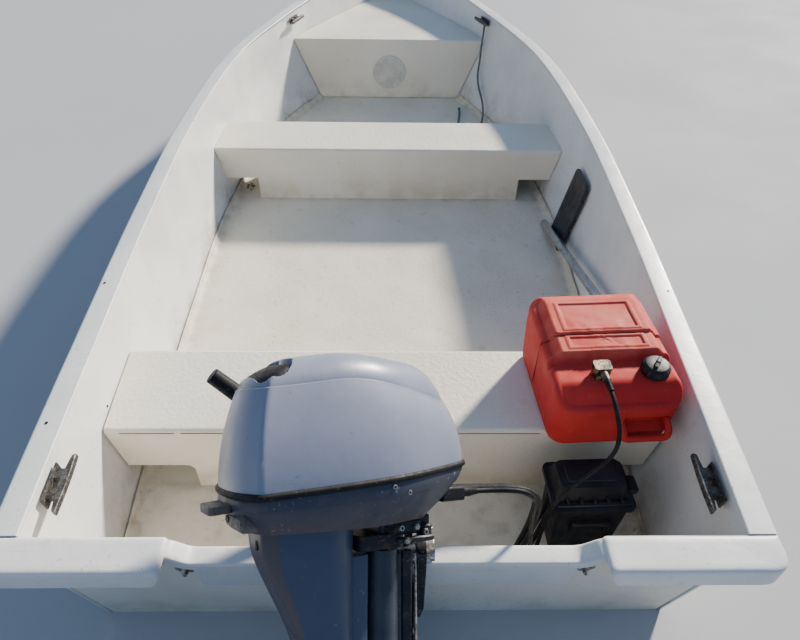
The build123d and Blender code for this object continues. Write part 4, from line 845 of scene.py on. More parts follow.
# Hull skin: sections as weighted corners, the first row on the raked plane of the transom's back and the
# last drawn together at the stem
def makeHull():
    weights = sectionWeights(hullForm["chineReach"], hullForm["knuckleReach"])
    stations = runsOf(hullForm["stations"])
    aft, rakeEnd = hullForm["stations"][0][:2]
    across = np.concatenate([np.arange(len(weights))[::-1], np.arange(1, len(weights))])
    side = np.where(np.arange(len(across)) < len(weights) - 1, -1.0, 1.0)
    weight = weights[across].T[:, None, :]
    share = np.clip((rakeEnd - stations) / (rakeEnd - aft), 0, 1)[:, None]
    yGrid = np.repeat(stations[:, None], len(across), 1)
    for _ in range(2):  # the second pass takes each point's section at the place that the rake gives it
        row = hullAt(np.minimum(yGrid, hullTable[-1, 0]).ravel())
        row = {key: value.reshape(yGrid.shape) for key, value in row.items()}
        x = np.stack([np.zeros_like(yGrid), row["chine"], row["knuckle"], row["gunwale"] - hullForm["topInset"]])
        z = np.stack([row["keelZ"], row["chineZ"], row["knuckleZ"], row["sheer"] - hullForm["rimGap"]])
        xGrid, zGrid = (x * weight).sum(0), (z * weight).sum(0)
        yGrid = stations[:, None] + share * (rakedY(zGrid) - hullForm["transomBack"] - aft)
    xGrid[-2:] *= np.array(hullForm["stemShares"])[:, None]
    middle = np.mean(zGrid[-3])
    zGrid[-1] = middle + (zGrid[-1] - middle) * hullForm["stemHeight"]
    wave = softNoise(yGrid.shape, (40, 14), 11) * hullForm["unevenness"] * np.clip(xGrid / 60, 0, 1)
    piece = makePiece(
        "hullSkin", placed(sheet(np.stack([(xGrid + wave) * side, yGrid, zGrid], -1))),
        ["gelcoatOutside", "gelcoatInside"], stands=("hull_shell", "stem"), sharp=60,
        recalculate=False,
    )
    thicken(piece, hullForm["skin"], 1, True)
    scum = hullForm["scum"]
    low = np.clip((scum["top"] - zGrid) / scum["depth"], 0, 1) ** 1.5
    streaks = np.clip((scum["streakTop"] - zGrid) / scum["streakDepth"], 0, 1)
    streaks *= softNoise(yGrid.shape, (60, 20), 5) > 0
    paintPoints(piece, (low + scum["streaks"] * streaks) * scum["share"])


# Gelcoat moulding on the hull
def makeMoulding(name, solid, *stands):
    return makePiece(name, placed(solid), "gelcoatOutside", stands=stands, sharp=50)


railForm = dict(
    corners=[(-57, -6), (-57, 0.5), (0, 0), (0.5, -50), (-5, -50), (-5.5, -6)],
    reaches=[1.5, 5, 9, 1.8, 1.8, 3],
    end=1960.3,
    unevenness=0.5,
    # Painted shade under the rail's inner edge: how far in from the outer edge it starts, its fade, its drop and share
    grimeAndShadeFrom=50, shadeOver=8, shadeBelow=3, grimeAndShade=0.5,  # on the underside of the inner edge
)


# Rail: the profile's rounded outline carried along the sheer
def makeRail(name, side, node):
    profile = roundedOutline(railForm["corners"], railForm["reaches"], 6)
    stations = np.linspace(hullForm["transomY"] + fit, railForm["end"], 110)
    row = hullAt(stations)
    wave = softNoise((len(stations), len(profile)), (50, 3), 20 + side) * railForm["unevenness"]
    x = side * (row["gunwale"][:, None] + profile[:, 0])
    z = row["sheer"][:, None] + profile[:, 1] + wave
    y = np.repeat(stations[:, None], len(profile), 1)
    piece = makeMoulding(name, ringSolid(np.stack([x, y, z], -1)), node)
    # Painted shade on the underside of the rail's inner edge, in the grime-and-shade attribute
    spots = pointsOf(piece.data)
    row = hullAt(spots[:, 1])
    inner = row["gunwale"] - np.abs(spots[:, 0]) - railForm["grimeAndShadeFrom"]
    under = spots[:, 2] < row["sheer"] - railForm["shadeBelow"]
    paintPoints(piece, np.clip(inner / railForm["shadeOver"], 0, 1) * railForm["grimeAndShade"] * under)


# Moulded cap: its edge as insets and falls, the wall's thickness and the least lip
shellForm = dict(edge=[(30, 0), (18, 0), (9, 0), (4, 1.2), (1.2, 4), (0, 8)], wall=5, least=9)


# Cap: a plate over an outline with a rounded edge and a lip turned down by the drop of each point
def capShell(outline, top, drop):
    wall = shellForm["wall"]
    drop = np.maximum(drop, shellForm["least"])
    rings = [lift(shrunk(outline, inset), top - fall) for inset, fall in shellForm["edge"]]
    for inset, share in ((0, 1), (wall * 0.5, 1), (wall, 0.97)):
        rings.append(lift(shrunk(outline, inset), top - drop * share))
    for inset, fall in ((wall, 8.5), (wall + 6, wall), (30, wall)):
        rings.append(lift(shrunk(outline, inset), top - fall))
    return ringSolid(rings)


sternForm = dict(capTop=390, aft=-2075, edgeAt=-2045, corner=42, capEnd=402, lip=50, unevenness=0.5)


# Cap of one stern corner, its lip deep on the aft and outboard edges
def makeSternCap(name, side, node):
    end, aft, fore = sternForm["capEnd"], sternForm["aft"], hullForm["transomY"]
    edge, edgeFore = hullAt([sternForm["edgeAt"], fore])["gunwale"]
    corners = [(end, aft), (edge, aft), (edgeFore, fore), (end, fore)]
    outline = subdivided(roundedOutline(corners, [10, sternForm["corner"], 2, 10], 9), 12)
    inboard = np.clip((outline[:, 0] - end) / 16, 0, 1)
    ahead = np.clip((fore - 3 - outline[:, 1]) / 10, 0, 1)
    outboard = np.clip((outline[:, 0] - edgeFore + 14) / 8, 0, 1)
    deep = np.minimum(inboard, np.maximum(ahead, outboard))
    drop = shellForm["least"] + (sternForm["lip"] - shellForm["least"]) * deep
    points, faces = capShell(outline, sternForm["capTop"], drop)
    points = points * [side, 1, 1]
    points[:, 2] += np.sin(points[:, 0] / 37) * np.sin(points[:, 1] / 19 + 1) * sternForm["unevenness"]
    makeMoulding(name, (points, faces), node)


rimForm = dict(
    halves=(368, 400, 414), fall=10,  # half breadths at the ledge, slope's top and end, and the fall from the caps
    bends=[0, 12, 14, 14, 12, 0],
    profile=[(2.5, -20), (2.5, 4.5), (-37, 4.5), (-37, -20), (-33.9, -20), (-33.9, 0.6), (-0.3, 0.6), (-0.3, -20)],
    reaches=[0.8, 7, 7, 0.8, 0.8, 1, 1, 0.8],
)


# Rim over the cut-out: a channel's profile carried along the ledge and up the slope at each end
def makeTransomRim():
    high = sternForm["capTop"] - rimForm["fall"]
    corners = list(zip(rimForm["halves"], (hullForm["ledgeZ"], high, high)))
    line = roundedPath([(-x, z) for x, z in reversed(corners)] + corners, rimForm["bends"], step=14)
    profile = roundedOutline(rimForm["profile"], rimForm["reaches"], 6)
    along = unit(np.gradient(line, axis=0))
    x = line[:, :1] - along[:, 1:] * profile[:, 1]
    z = line[:, 1:] + along[:, :1] * profile[:, 1]
    makeMoulding("transomRim", ringSolid(np.stack([x, rakedY(z) + profile[:, 0], z], -1)))


bowForm = dict(top=501, front=2068, tip=30, shoulder=(24, 54), reaches=[1, 1, 30, 34, 34, 30], lip=50)


# Cap over the stem with a lip round its curved edge
def makeBowCap():
    start, front, tip = railForm["end"], bowForm["front"], bowForm["tip"]
    half = hullAt([start])["gunwale"][0]
    inset, ahead = bowForm["shoulder"]
    corners = [
        (-half, start), (half, start), (half - inset, start + ahead), (tip, front), (-tip, front),
        (inset - half, start + ahead),
    ]
    outline = subdivided(roundedOutline(corners, bowForm["reaches"], 9), 8)
    deep = np.clip((outline[:, 1] - start) / 6, 0, 1)
    drop = shellForm["least"] + (bowForm["lip"] - shellForm["least"]) * deep
    makeMoulding("bowCap", capShell(outline, bowForm["top"], drop), "bow_cap")


soleForm = dict(
    top=8.2, cove=24, fore=985.4, inset=6.5, wall=3, unevenness=0.7,
    edges=(-1954, -1643, -1359, -160, 120, 986),  # where faces stand on the sole and dirt and painted shade gather
    wellEnd=-1643,
)


# Sole: flat rows across the boat that curve up the wall at each side, on three weighted points a side, with
# dirt and painted shade in the corners and along the faces that stand on it, and dirt in the well
def makeSole():
    top, cove = soleForm["top"], soleForm["cove"]
    stations = np.linspace(rakedY(top) + 0.4, soleForm["fore"], 170)
    low = wallX(stations, top, soleForm["inset"])[:, None]
    high = wallX(stations, top + cove, soleForm["inset"])[:, None]
    t = np.linspace(0, 1, 8)
    flat = np.linspace(0, 1, 40)[:-1]
    curved = (1 - t) ** 2 * (low - cove) + 2 * t * (1 - t) * low + t**2 * high
    xHalf = np.concatenate([(low - cove) * flat, curved], axis=1)
    zHalf = np.concatenate([np.zeros(len(flat)), t**2 * cove])
    x = np.concatenate([-xHalf[:, :0:-1], xHalf], axis=1)
    z = np.concatenate([zHalf[:0:-1], zHalf]) + top + softNoise(x.shape, (60, 26), 3) * soleForm["unevenness"]
    y = np.repeat(stations[:, None], x.shape[1], 1)
    piece = makePiece(
        "soleSheet", placed(sheet(np.stack([x, y, z], -1))), "soleFinish",
        stands=("cockpit_sole",), recalculate=False,
    )
    thicken(piece, soleForm["wall"])
    # Dirt with painted shade in the corners and along the standing faces, and dirt alone in the well
    corner = np.clip((np.abs(x) / (low + 1) - 0.90) * 9, 0, 1)
    near = np.min(np.abs(y[..., None] - np.array(soleForm["edges"])), axis=-1)
    dirtAndShade = np.maximum(corner, np.clip(1 - near / 26, 0, 1)) * (0.5 + 0.5 * softNoise(x.shape, (90, 30), 8))
    patches = np.clip(softNoise(x.shape, (120, 44), 9), 0, 1) ** 1.5
    paintPoints(piece, dirtAndShade * 0.5 + (y < soleForm["wellEnd"]) * (0.06 + 0.35 * patches))


makeHull()
makeRail("railPort", -1, "gunwale_port")
makeRail("railStarboard", 1, "gunwale_starboard")
makeSternCap("sternCapPort", -1, "transom_cap_port")
makeSternCap("sternCapStarboard", 1, "transom_cap_starboard")
makeTransomRim()
makeBowCap()
makeSole()
print("hull, rails, caps and sole made")


cowlTilt = math.radians(5)
cowlAxes = np.array([
    [1, 0, 0], [0, math.cos(cowlTilt), math.sin(cowlTilt)], [0, -math.sin(cowlTilt), math.cos(cowlTilt)],
]) @ motorAxes
cowlOrigin = motorPoint(0, -72, 153)
cowlForm = dict(
    middle=-72,
    rear=284, front=139, half=136,  # reach of the seal from the steering axis
    foot=4.8, shoulder=155, crown=46,
    rearHalf=0.36, creaseAt=(0.80, 0.055), widest=(0.42, 0.64), head=0.62,
    drawIn=dict(rear=(4, 4, 28), front=(4, 0.6, 19), half=(4, 1.8, 32.2)),  # at the foot, by height and by its square
    ledge=[(0.7, 1.6), (2.2, 2.4), (3.4, 2.6)],
    domeMiddle=(0.0, 1.5),
    hump=6, humpAt=-10, humpReach=90,
    frontFall=46, fallFrom=-40, fallOver=205,  # how much lower the shoulder is at the front, and over what length
)


# Outline of the cowl: narrow rear face, a crisp crease beside it, full sides and a rounded head
def cowlOutline(rear, front, half, crease=5):
    back, head = -rear - cowlForm["middle"], front - cowlForm["middle"]
    length = head - back
    (creaseX, creaseY), (wideLow, wideHigh) = cowlForm["creaseAt"], cowlForm["widest"]
    right = [
        (cowlForm["rearHalf"] * half, back), (creaseX * half, back + creaseY * length),
        (half, back + wideLow * length), (half, back + wideHigh * length), (cowlForm["head"] * half, head),
    ]
    return mirrored(right, [60, crease, 0.20 * length, 0.14 * length, 0.34 * half], 9, 280)


# Upper cowl: sides that draw in by the height and its square, a small ledge at the shoulder, then a dome whose
# height falls with the fourth power of the distance from its middle, all lowered towards the front
def makeUpperCowl():
    foot, shoulder, crown = cowlForm["foot"], cowlForm["shoulder"], cowlForm["crown"]
    rings = []
    for t in np.linspace(0, 1, 26):
        sizes = [cowlForm[key] - np.dot(draw, (1, t, t * t)) for key, draw in cowlForm["drawIn"].items()]
        rings.append(lift(cowlOutline(*sizes), foot + (shoulder - foot) * t))
    base = rings[-1][:, :2]
    for inset, rise in cowlForm["ledge"]:
        rings.append(lift(insetOutline(base, inset), shoulder + rise))
    edge = rings[-1][:, :2] - cowlForm["domeMiddle"]
    for r in np.concatenate([np.linspace(0.992, 0.62, 56), np.linspace(0.58, 0.04, 12)]):
        height = shoulder + rise + (crown - 1) * (1 - r**4) ** 0.75
        rings.append(lift(cowlForm["domeMiddle"] + edge * [r, r**0.7], height))
    rings = np.asarray(rings)
    y, z = rings[..., 1], rings[..., 2]
    fall = np.clip((y - cowlForm["fallFrom"]) / cowlForm["fallOver"], 0, 1) ** 1.6 * cowlForm["frontFall"]
    fall *= 1 - 0.45 * np.clip((z - shoulder) / 40, 0, 1)
    hump = cowlForm["hump"] * np.exp(-((y - cowlForm["humpAt"]) / cowlForm["humpReach"]) ** 2)
    rings[..., 2] += (hump - fall) * np.clip(z / shoulder, 0, 1) ** 1.5
    return ringSolid(rings)


# Share of each point inside an oblong across the crown with round ends, easing out over the edge's width
def oblong(points, centre, long, short, edge):
    along, across = np.abs(points - centre).T
    beyond = np.hypot(np.maximum(along - long + short, 0), across) - short
    return ease(-beyond / edge, -0.5, 0.5)


intakeForm = dict(
    centre=(3, -133), long=67, short=27, edge=5, depth=30,
    liner=(126, 48, 22),  # width, length and corner
    shares=(1, 0.97, 0.8, 0.6, 0.4, 0.2, 0.05), rimDepth=9, linerDepth=6,
)


# Dark sheet of painted shade in the intake: its outline drawn in ring by ring, a depth below the mean height of the
# eight nearest points of the crown, each weighted by one over the square of its distance
def makeShadeSheet(points):
    crown = points[points[:, 2] > cowlForm["shoulder"] + 3]
    spot = plate(*intakeForm["liner"], steps=8)
    rings = []
    for share in intakeForm["shares"]:
        ring = spot * share + intakeForm["centre"]
        away = np.hypot(*(ring[:, None] - crown[None, :, :2]).transpose(2, 0, 1)) + 0.3
        near = np.argsort(away, axis=1)[:, :8]
        weight = 1 / np.take_along_axis(away, near, 1) ** 2
        height = (crown[near, 2] * weight).sum(1) / weight.sum(1)
        rings.append(lift(ring, height - intakeForm["rimDepth" if share == 1 else "linerDepth"]))
    return ringSolid(rings)


cowlPoints, cowlFaces = makeUpperCowl()
inIntake = oblong(cowlPoints[:, :2], *(intakeForm[key] for key in ("centre", "long", "short", "edge")))
inIntake *= cowlPoints[:, 2] > cowlForm["shoulder"] + 2
liner = makeShadeSheet(cowlPoints)
cowlPoints[:, 2] -= inIntake * intakeForm["depth"]
upperCowl = makePiece(
    "upperCowl", placed((cowlPoints, cowlFaces), cowlOrigin, cowlAxes), "cowlPaint", body="motor",
    stands=("upper_cowl",), sharp=28,
)
# Painted shade on the walls and floor of the intake, near black through the cowl's grime-and-shade colour
paintPoints(upperCowl, np.clip(inIntake * 9 - 1, 0, 1))
# Black sheet standing for the painted shade inside the intake
makePiece(
    "intakeShade", placed(liner, cowlOrigin, cowlAxes), "rubber", body="motor", sharp=50,
)

# Seal with a rounded outer bead, as insets and heights
sealForm = dict(
    crease=12,
    bead=[(12, -4.6), (3, -4.6), (0.6, -3.6), (-0.6, -1.4), (-0.6, 1.2), (0.2, 3.4), (1.6, 4.6), (3, 5.6), (12, 5.6)],
)
sealOutline = cowlOutline(cowlForm["rear"], cowlForm["front"], cowlForm["half"], sealForm["crease"])
seal = ringSolid([lift(insetOutline(sealOutline, inset), height) for inset, height in sealForm["bead"]])
makePiece(
    "sealBead", placed(seal, cowlOrigin, cowlAxes), "rubber", body="motor",
    stands=("cowl_seal",), sharp=50,
)

trayForm = dict(
    floorZ=80, rear=258, front=62, half=102, step=0.30, stepDepth=2.4, bulge=9,
    rimInsets=(6, 4, 4), rimZ=-5, floorInsets=(3, 9, 24),
    grimeAndShadeFrom=0.45, grimeRise=1.1, grimeMost=0.75,
)


# Lower cowl: the rim's outline blended to the floor's, swelled between them, with a moulded step
def makeTray():
    sizes = [cowlForm[key] - inset for key, inset in zip(("rear", "front", "half"), trayForm["rimInsets"])]
    rim = cowlOrigin + lift(cowlOutline(*sizes, 12), trayForm["rimZ"]) @ cowlAxes
    floorOutline = cowlOutline(trayForm["rear"], trayForm["front"], trayForm["half"], 20)
    outward = lift(insetOutline(floorOutline, -1) - floorOutline, 0) @ motorAxes

    def onFloor(outline):
        return motorOrigin + (lift(outline, trayForm["floorZ"]) + [0, cowlForm["middle"], 0]) @ motorAxes

    floor = onFloor(floorOutline)
    rings = []
    step = trayForm["step"]
    for t in np.concatenate([np.linspace(0, step, 5), [step + 0.015], np.linspace(0.36, 1, 12)]):
        swell = trayForm["bulge"] * np.sin(math.pi * t**0.8)
        if t > step + 0.01:
            swell -= trayForm["stepDepth"]
        rings.append(rim * (1 - t) + floor * t + outward * swell)
    for inset in trayForm["floorInsets"]:
        rings.append(onFloor(insetOutline(floorOutline, inset + trayForm["stepDepth"])))
    return rings


trayRings = makeTray()
tray = makePiece(
    "lowerTray", placed(ringSolid(trayRings)), "lowerPaint", body="motor",
    stands=("lower_cowl",), sharp=38,
)
share = np.repeat(np.linspace(0, 1, len(trayRings)), len(trayRings[0]))[: len(tray.data.vertices)]
paintPoints(tray, np.clip((share - trayForm["grimeAndShadeFrom"]) * trayForm["grimeRise"], 0, trayForm["grimeMost"]))


legForm = dict(
    table=[  # height, fore and aft ends and half breadth
        (-496.7, -52, -168, 30), (-330, -60, -146, 30), (-130, -62, -150, 38), (30, -64, -222, 47),
        (79.6, -64, -232, 50),
    ],
    heights=[(-496.7, 60, 80), (64, 79.6, 4)],
    grimeAndShade=(-0.15, -0.12),
)
legTable = np.array(legForm["table"], float)


# Leg: a flat rear face between two creases, round sides and front, carried up the steering axis
def makeLeg():
    rings = []
    for height, fore, aft, half in rowsAt(legTable, runsOf(legForm["heights"])):
        length = fore - aft
        right = [
            (0.72 * half, aft), (0.95 * half, aft + 0.12 * length), (half, aft + 0.45 * length),
            (half, fore - 0.22 * length), (0.5 * half, fore),
        ]
        rings.append(lift(mirrored(right, [5, 5, 0.2 * length, 0.14 * length, 0.3 * half], 7, 180), height))
    return ringSolid(rings)


leg = makeLeg()
legPiece = makePiece(
    "legHousing", placed(leg, motorOrigin, motorAxes), "legPaint", body="motor",
    stands=("leg",), sharp=34,
)
legFore, legAft = (np.interp(leg[0][:, 2], legTable[:, 0], legTable[:, k]) for k in (1, 2))
paintPoints(legPiece, ease(-(leg[0][:, 1] - legAft) / (legFore - legAft), *legForm["grimeAndShade"]))

# Rounded blocks on the motor: a fairing on the leg's front, and a moulded lug and outlets behind the cowl tray;
# the outlets are black blocks, painted shade for the holes
backAxes = np.stack([motorX, motorZ, -motorY])
motorBlocks = [
    ("legFairing", [(38, 36.5, 7, (0, -51.75), -284, 22, 3)], motorAxes, "legPaint", "motor_dark", 40),
    ("trayLug", [(84, 26, 12, (32, 96), 236, 274, 6)], backAxes, "agedMetal", "motor_dark", 30),
    (
        "outletHoleShade", [(18, 10, 4.9, (4, 97), 270, 275.2, 0.8), (9, 16, 4.4, (10, 54), 222, 229.6, 0.8)],
        backAxes, "rubber", "black_rubber", 40,
    ),
]
for name, rows, axes, look, slotName, sharp in motorBlocks:
    makePiece(name, placed(blocks(rows), motorOrigin, axes), look, body="motor", sharp=sharp)
trayScrews = dict(head=dict(radius=4.2, height=5, socket=2), spots=[(130.5, -51, 144), (124.5, -20, 133)])
screws = heads(pin(**trayScrews["head"]), trayScrews["spots"], motorOrigin, motorAxes)
makePiece("trayScrews", screws, "bareMetal", body="motor")
print("cowls, seal and leg made")

# Cheeks, ribs, stop lever and rod on the swivel as y and z in the tilted frame, with breadths from its middle, and
# bolts as x, y and z
swivelForm = dict(
    cheek=[(-60, -222), (-50, -200), (-40, -150), (-19, -24), (-25, 2), (-40, 17), (-60, 20)],
    cheekReaches=[6, 10, 20, 8, 6, 6, 4], cheekX=(35.5, 55),
    rib=[(-58, -190), (-51, -190), (-32, -40), (-39, -40)], ribX=(54, 58),
    lever=[(-14, 10), (0, 12), (32, 20), (37, 27), (28, 33), (-10, 26)], leverX=(42, 50), knob=(28, 26, 46),
    bolts=[(54.5, -52, -196), (54.5, -46, -120), (54.5, -30, -36), (54.5, -50, 4)],
    rod=[(-34, 8), (-42, -60), (-58, -170)], rodX=60.5,
)
cheekLine = roundedOutline(swivelForm["cheek"], swivelForm["cheekReaches"], 5)
ribLine = roundedOutline(swivelForm["rib"], 3, 4)
cheeks = []
for line, (near, far), bevel in ((cheekLine, swivelForm["cheekX"], 3), (ribLine, swivelForm["ribX"], 1.5)):
    cheeks += [slab(line, near, far, bevel), slab(line, -far, -near, bevel)]
leverLine = roundedOutline(swivelForm["lever"], 4, 5)
knobPoints, knobFaces = pin(6.5, 12)
lever = joined(slab(leverLine, *swivelForm["leverX"], 2), (knobPoints + swivelForm["knob"], knobFaces))
for name, solid in (("swivelCheeks", joined(*cheeks)), ("stopLever", lever)):
    solid = placed(solid, tiltOrigin, np.roll(tiltedAxes, -1, 0))
    makePiece(name, solid, "motorDark", body="swivel", sharp=35)

# Shift linkage: blocks, pins as x, y, z and socket, and a bent pipe
linkageForm = dict(
    blocks=[
        (30, 54, 8, (54, 14), 56, 79, 3), (12, 74, 5, (72, 24), 44, 53, 2), (22, 20, 6, (58, 52), 46, 70, 3),
        (9, 40, 4, (44, 50), 60, 82, 2),
    ],
    pins=[(68.5, -2, 68, 3), (68.5, 28, 68, 0), (68.6, 46, 58, 3), (77.5, 4, 49, 0)],
    pipe=[(30, 62, 84), (30, 70, 66), (62, 70, 60), (66, 44, 58)], bend=9, pipeRadius=3.6,
)
makePiece(
    "shiftLinkage", placed(blocks(linkageForm["blocks"]), motorOrigin, motorAxes), "motorDark", body="motor",
    sharp=35,
)
linkPins = [
    heads(pin(6, 6.5, 6, socket), [spot], motorOrigin, motorAxes, (1,)) for *spot, socket in linkageForm["pins"]
]
pipe = tubeAlong(roundedPath(linkageForm["pipe"], linkageForm["bend"], step=5), linkageForm["pipeRadius"], 12)
linkPins.append(placed(pipe, motorOrigin, motorAxes))
makePiece("linkagePins", joined(*linkPins), "agedSteel", body="motor", sharp=35)

top, middle, bottom = (tiltOrigin + np.array([swivelForm["rodX"], *spot]) @ tiltedAxes for spot in swivelForm["rod"])
rodLine = [top * (1 - t) + middle * t for t in np.linspace(0, 1, 8)]
rodLine += [middle * (1 - t) + bottom * t for t in np.linspace(0.1, 1, 10)]
bolts = joined(heads(pin(6.5, 7, 6), swivelForm["bolts"], tiltOrigin, tiltedAxes), placed(tubeAlong(rodLine, 2.6, 10)))
makePiece("swivelBolts", bolts, "agedSteel", body="swivel", sharp=35)

# Nuts on the ends of the tilt tube, and two smaller ones on each clamp bracket
nutForm = dict(tubeX=82.2, spots=[(81.5, 18, -22), (81.5, 30, -96)])
nuts = joined(
    heads(pin(17, 9, 6, socket=9), [(nutForm["tubeX"], 0, 0)], tiltOrigin, np.eye(3)),
    heads(pin(7, 6, 6), nutForm["spots"], tiltOrigin, np.eye(3)),
)
makePiece("clampNuts", nuts, "agedSteel", sharp=35)
print("motor's small pieces made")


tankForm = dict(
    width=300, length=336, corners=[46, 46, 34, 34],
    edge=16, foot=14, taper=0.035, unevenness=1.0,
    rises=[(-56, -38, 26), (15.5, 18.5, 7)],  # where a rise along y starts and ends, and its height
    falls=[(-1, 1.5, 100, 46), (1, 2, 128, 12)],  # side, power, start and depth of the fall to each end at 168
    plateau=112, plateauFall=22,
    panels=[(-26, 8), (30, 122)], panelHalf=90, frameHalf=100, panelDepth=3.4, frameRise=2.0,
    seamY=16.5, grooveDepth=2.2,
    recess=dict(x=(18, 130), z=(52, 98), depth=24),
)


# Height of the tank's top over its plan: deck, plateau with two framed panels, and shoulders that fall at
# the sides, each a sum of eased steps, less a bell-shaped groove along the seam
def tankTop(x, y):
    top = deckZ + sum(ease(y, low, high) * rise for low, high, rise in tankForm["rises"])
    top = top - ease(np.abs(x), tankForm["plateau"], 140) * tankForm["plateauFall"] * ease(y, -70, -30)
    for side, power, start, depth in tankForm["falls"]:
        top -= ease(side * y, start, 168) ** power * depth
    for low, high in tankForm["panels"]:
        inside = ease(tankForm["panelHalf"] - np.abs(x), 0, 5) * within(y, low, high, 0, 5)
        frameShare = ease(tankForm["frameHalf"] - np.abs(x), 0, 5) * within(y, low, high, 8, -3)
        top += frameShare * tankForm["frameRise"] - inside * tankForm["panelDepth"]
    groove = np.exp(-(((y - tankForm["seamY"]) / 2.2) ** 2)) * (y > 5)
    return top - tankForm["grooveDepth"] * groove


# Tank: closed outlines one inside the other over the top, round the edge and down the sides, which draw in by
# the square of the depth
def makeTank():
    outline = spread(plate(tankForm["width"], tankForm["length"], tankForm["corners"], steps=12), 400)
    size = np.array([tankForm["width"], tankForm["length"]]) / 2
    edge, foot = tankForm["edge"], tankForm["foot"]
    rings = []
    for share in np.linspace(0.01, 1, 86):
        inner = outline * (1 - edge / size) * share
        rings.append(lift(inner, tankTop(*inner.T)))
    rim = rings[-1][:, 2]
    for angle in np.linspace(0, math.pi / 2, 7)[1:]:
        rings.append(lift(outline * (1 - edge * (1 - math.sin(angle)) / size), rim - edge * (1 - math.cos(angle))))
    side = rings[-1]
    for t in np.linspace(0, 1, 26)[1:]:
        rings.append(lift(side[:, :2] * (1 - tankForm["taper"] * t**2), side[:, 2] * (1 - t) + foot * t))
    last = rings[-1]
    for angle in np.linspace(0, math.pi / 2, 5)[1:]:
        plan = last[:, :2] * (1 - foot * (1 - math.cos(angle)) / size)
        rings.append(lift(plan, last[:, 2] - foot * math.sin(angle) + 0.2))
    rings = np.asarray(rings)[::-1]
    hollow = tankForm["recess"]
    x, y, z = rings[..., 0], rings[..., 1], rings[..., 2]
    inside = within(x, *hollow["x"], 5, 4) * within(z, *hollow["z"], 4, 4)
    rings[..., 1] += inside * (y < -110) * hollow["depth"]
    rings[..., 2] += softNoise(rings.shape[:2], (9, 12), 4) * tankForm["unevenness"] * (z > 100)
    return ringSolid(rings)


tankSolid = makeTank()
tank = makePiece(
    "tankBody", placed(tankSolid, tankOrigin, tankAxes), "tankRed", stands=("fuel_tank",),
    sharp=35,
)
paintPoints(tank, ease(tankSolid[0][:, 2], 166, 200) * 0.85)

# Mould line across the plateau and down both sides, dark for the painted shade in its groove
seamForm = dict(half=132, sideX=149.4, sideZ=(172, 40), sunk=0.6, radius=1.3)
seamX = np.linspace(-seamForm["half"], seamForm["half"], 60)
seamY = np.full(60, tankForm["seamY"])
seamTop = np.stack([seamX, seamY, tankTop(seamX, seamY) - seamForm["sunk"]], 1)
seamSide = np.array([(seamForm["sideX"], tankForm["seamY"], z) for z in np.linspace(*seamForm["sideZ"], 12)])
seam = tubeAlong(np.concatenate([seamSide[::-1] * [-1, 1, 1], seamTop, seamSide]), seamForm["radius"], 8)
makePiece("tankSeam", placed(seam, tankOrigin, tankAxes), "tankShade", sharp=80)

# Handle bar under the recess, a round profile along a U
handleForm = dict(
    line=[(18, -150, 74), (18, -178, 58), (22, -181, 40), (124, -181, 40), (128, -178, 58), (128, -150, 74)],
    bend=12, radius=8.5,
)
handle = tubeAlong(roundedPath(handleForm["line"], handleForm["bend"], step=8), handleForm["radius"])
makePiece("tankHandle", placed(handle, tankOrigin, tankAxes), "tankRed", sharp=50)

# Filler cap: a ribbed profile of radii and heights, a rounded bar across it and a vent knob
capForm = dict(
    profile=[
        (29, 0), (31, 1.2), (31.4, 3), (31.4, 20), (30, 23), (27, 24), (26, 25.2), (26, 27.4), (24.6, 28), (10, 28),
        (3, 28),
    ],
    ribs=18, ribDepth=1.3, ribbed=(2, 3),
    bar=(40, 9, 4), barRings=[(0, 27.5), (0, 33), (0.8, 34.6), (2.4, 35)],
    knob=[(6, 27), (6, 33), (5, 36), (2, 37)],
    place=(92, -92), turn=58,
)
barLine = plate(*capForm["bar"])
capSolid = joined(
    turned(capForm["profile"], 108, capForm["ribs"], capForm["ribDepth"], capForm["ribbed"]),
    ringSolid([lift(insetOutline(barLine, inset), height) for inset, height in capForm["barRings"]]),
    turned(capForm["knob"], 24),
)
makePiece(
    "fillerCap", placed(capSolid, tankPoint(*capForm["place"], deckZ + fit), turnFrame(capForm["turn"])),
    "blackPlastic", stands=("tank_cap",), sharp=35,
)
print("tank made")

# Battery box details: raised top and ribs on the lid, lugs at its ends, strap bar and grip on the aft face
batteryForm = dict(
    place=(474, -1768), turn=2, lid=46,
    top=(118, 50, 10, (0, 10)), topRise=(-2, 5),
    ribs=(-62, -31, 0, 31, 62),
    lugs=[(176, 10, 4, (0, -54), 186, 194, 2), (22, 46, 8, (104, 0), 178, 192, 3)],
    grip=[
        (96, 14, 5, (0, 130), 56, 74, 3), (14, 40, 5, (-41, 118), 56, 72, 3), (14, 40, 5, (41, 118), 56, 72, 3),
        (120, 64, 12, (0, 70), 50, 62.5, 2),
    ],
)
batteryOrigin = np.array([*batteryForm["place"], soleZ + fit])
batteryAxes = turnFrame(batteryForm["turn"])
faceAxes = np.stack([batteryAxes[0], batteryAxes[2], -batteryAxes[1]])
lidTop = boxHeight + fit + batteryForm["lid"]
lidRows = [(*batteryForm["top"], *(lidTop + rise for rise in batteryForm["topRise"]), 2), *batteryForm["lugs"]]
lidRows += [(7, 46, 3, (x, -32), 186, 201, 2) for x in batteryForm["ribs"]]
for name, rows, axes in (("lidDetail", lidRows, batteryAxes), ("boxDetail", batteryForm["grip"], faceAxes)):
    makePiece(
        name, placed(blocks(rows), batteryOrigin, axes), "blackPlastic", sharp=35,
    )

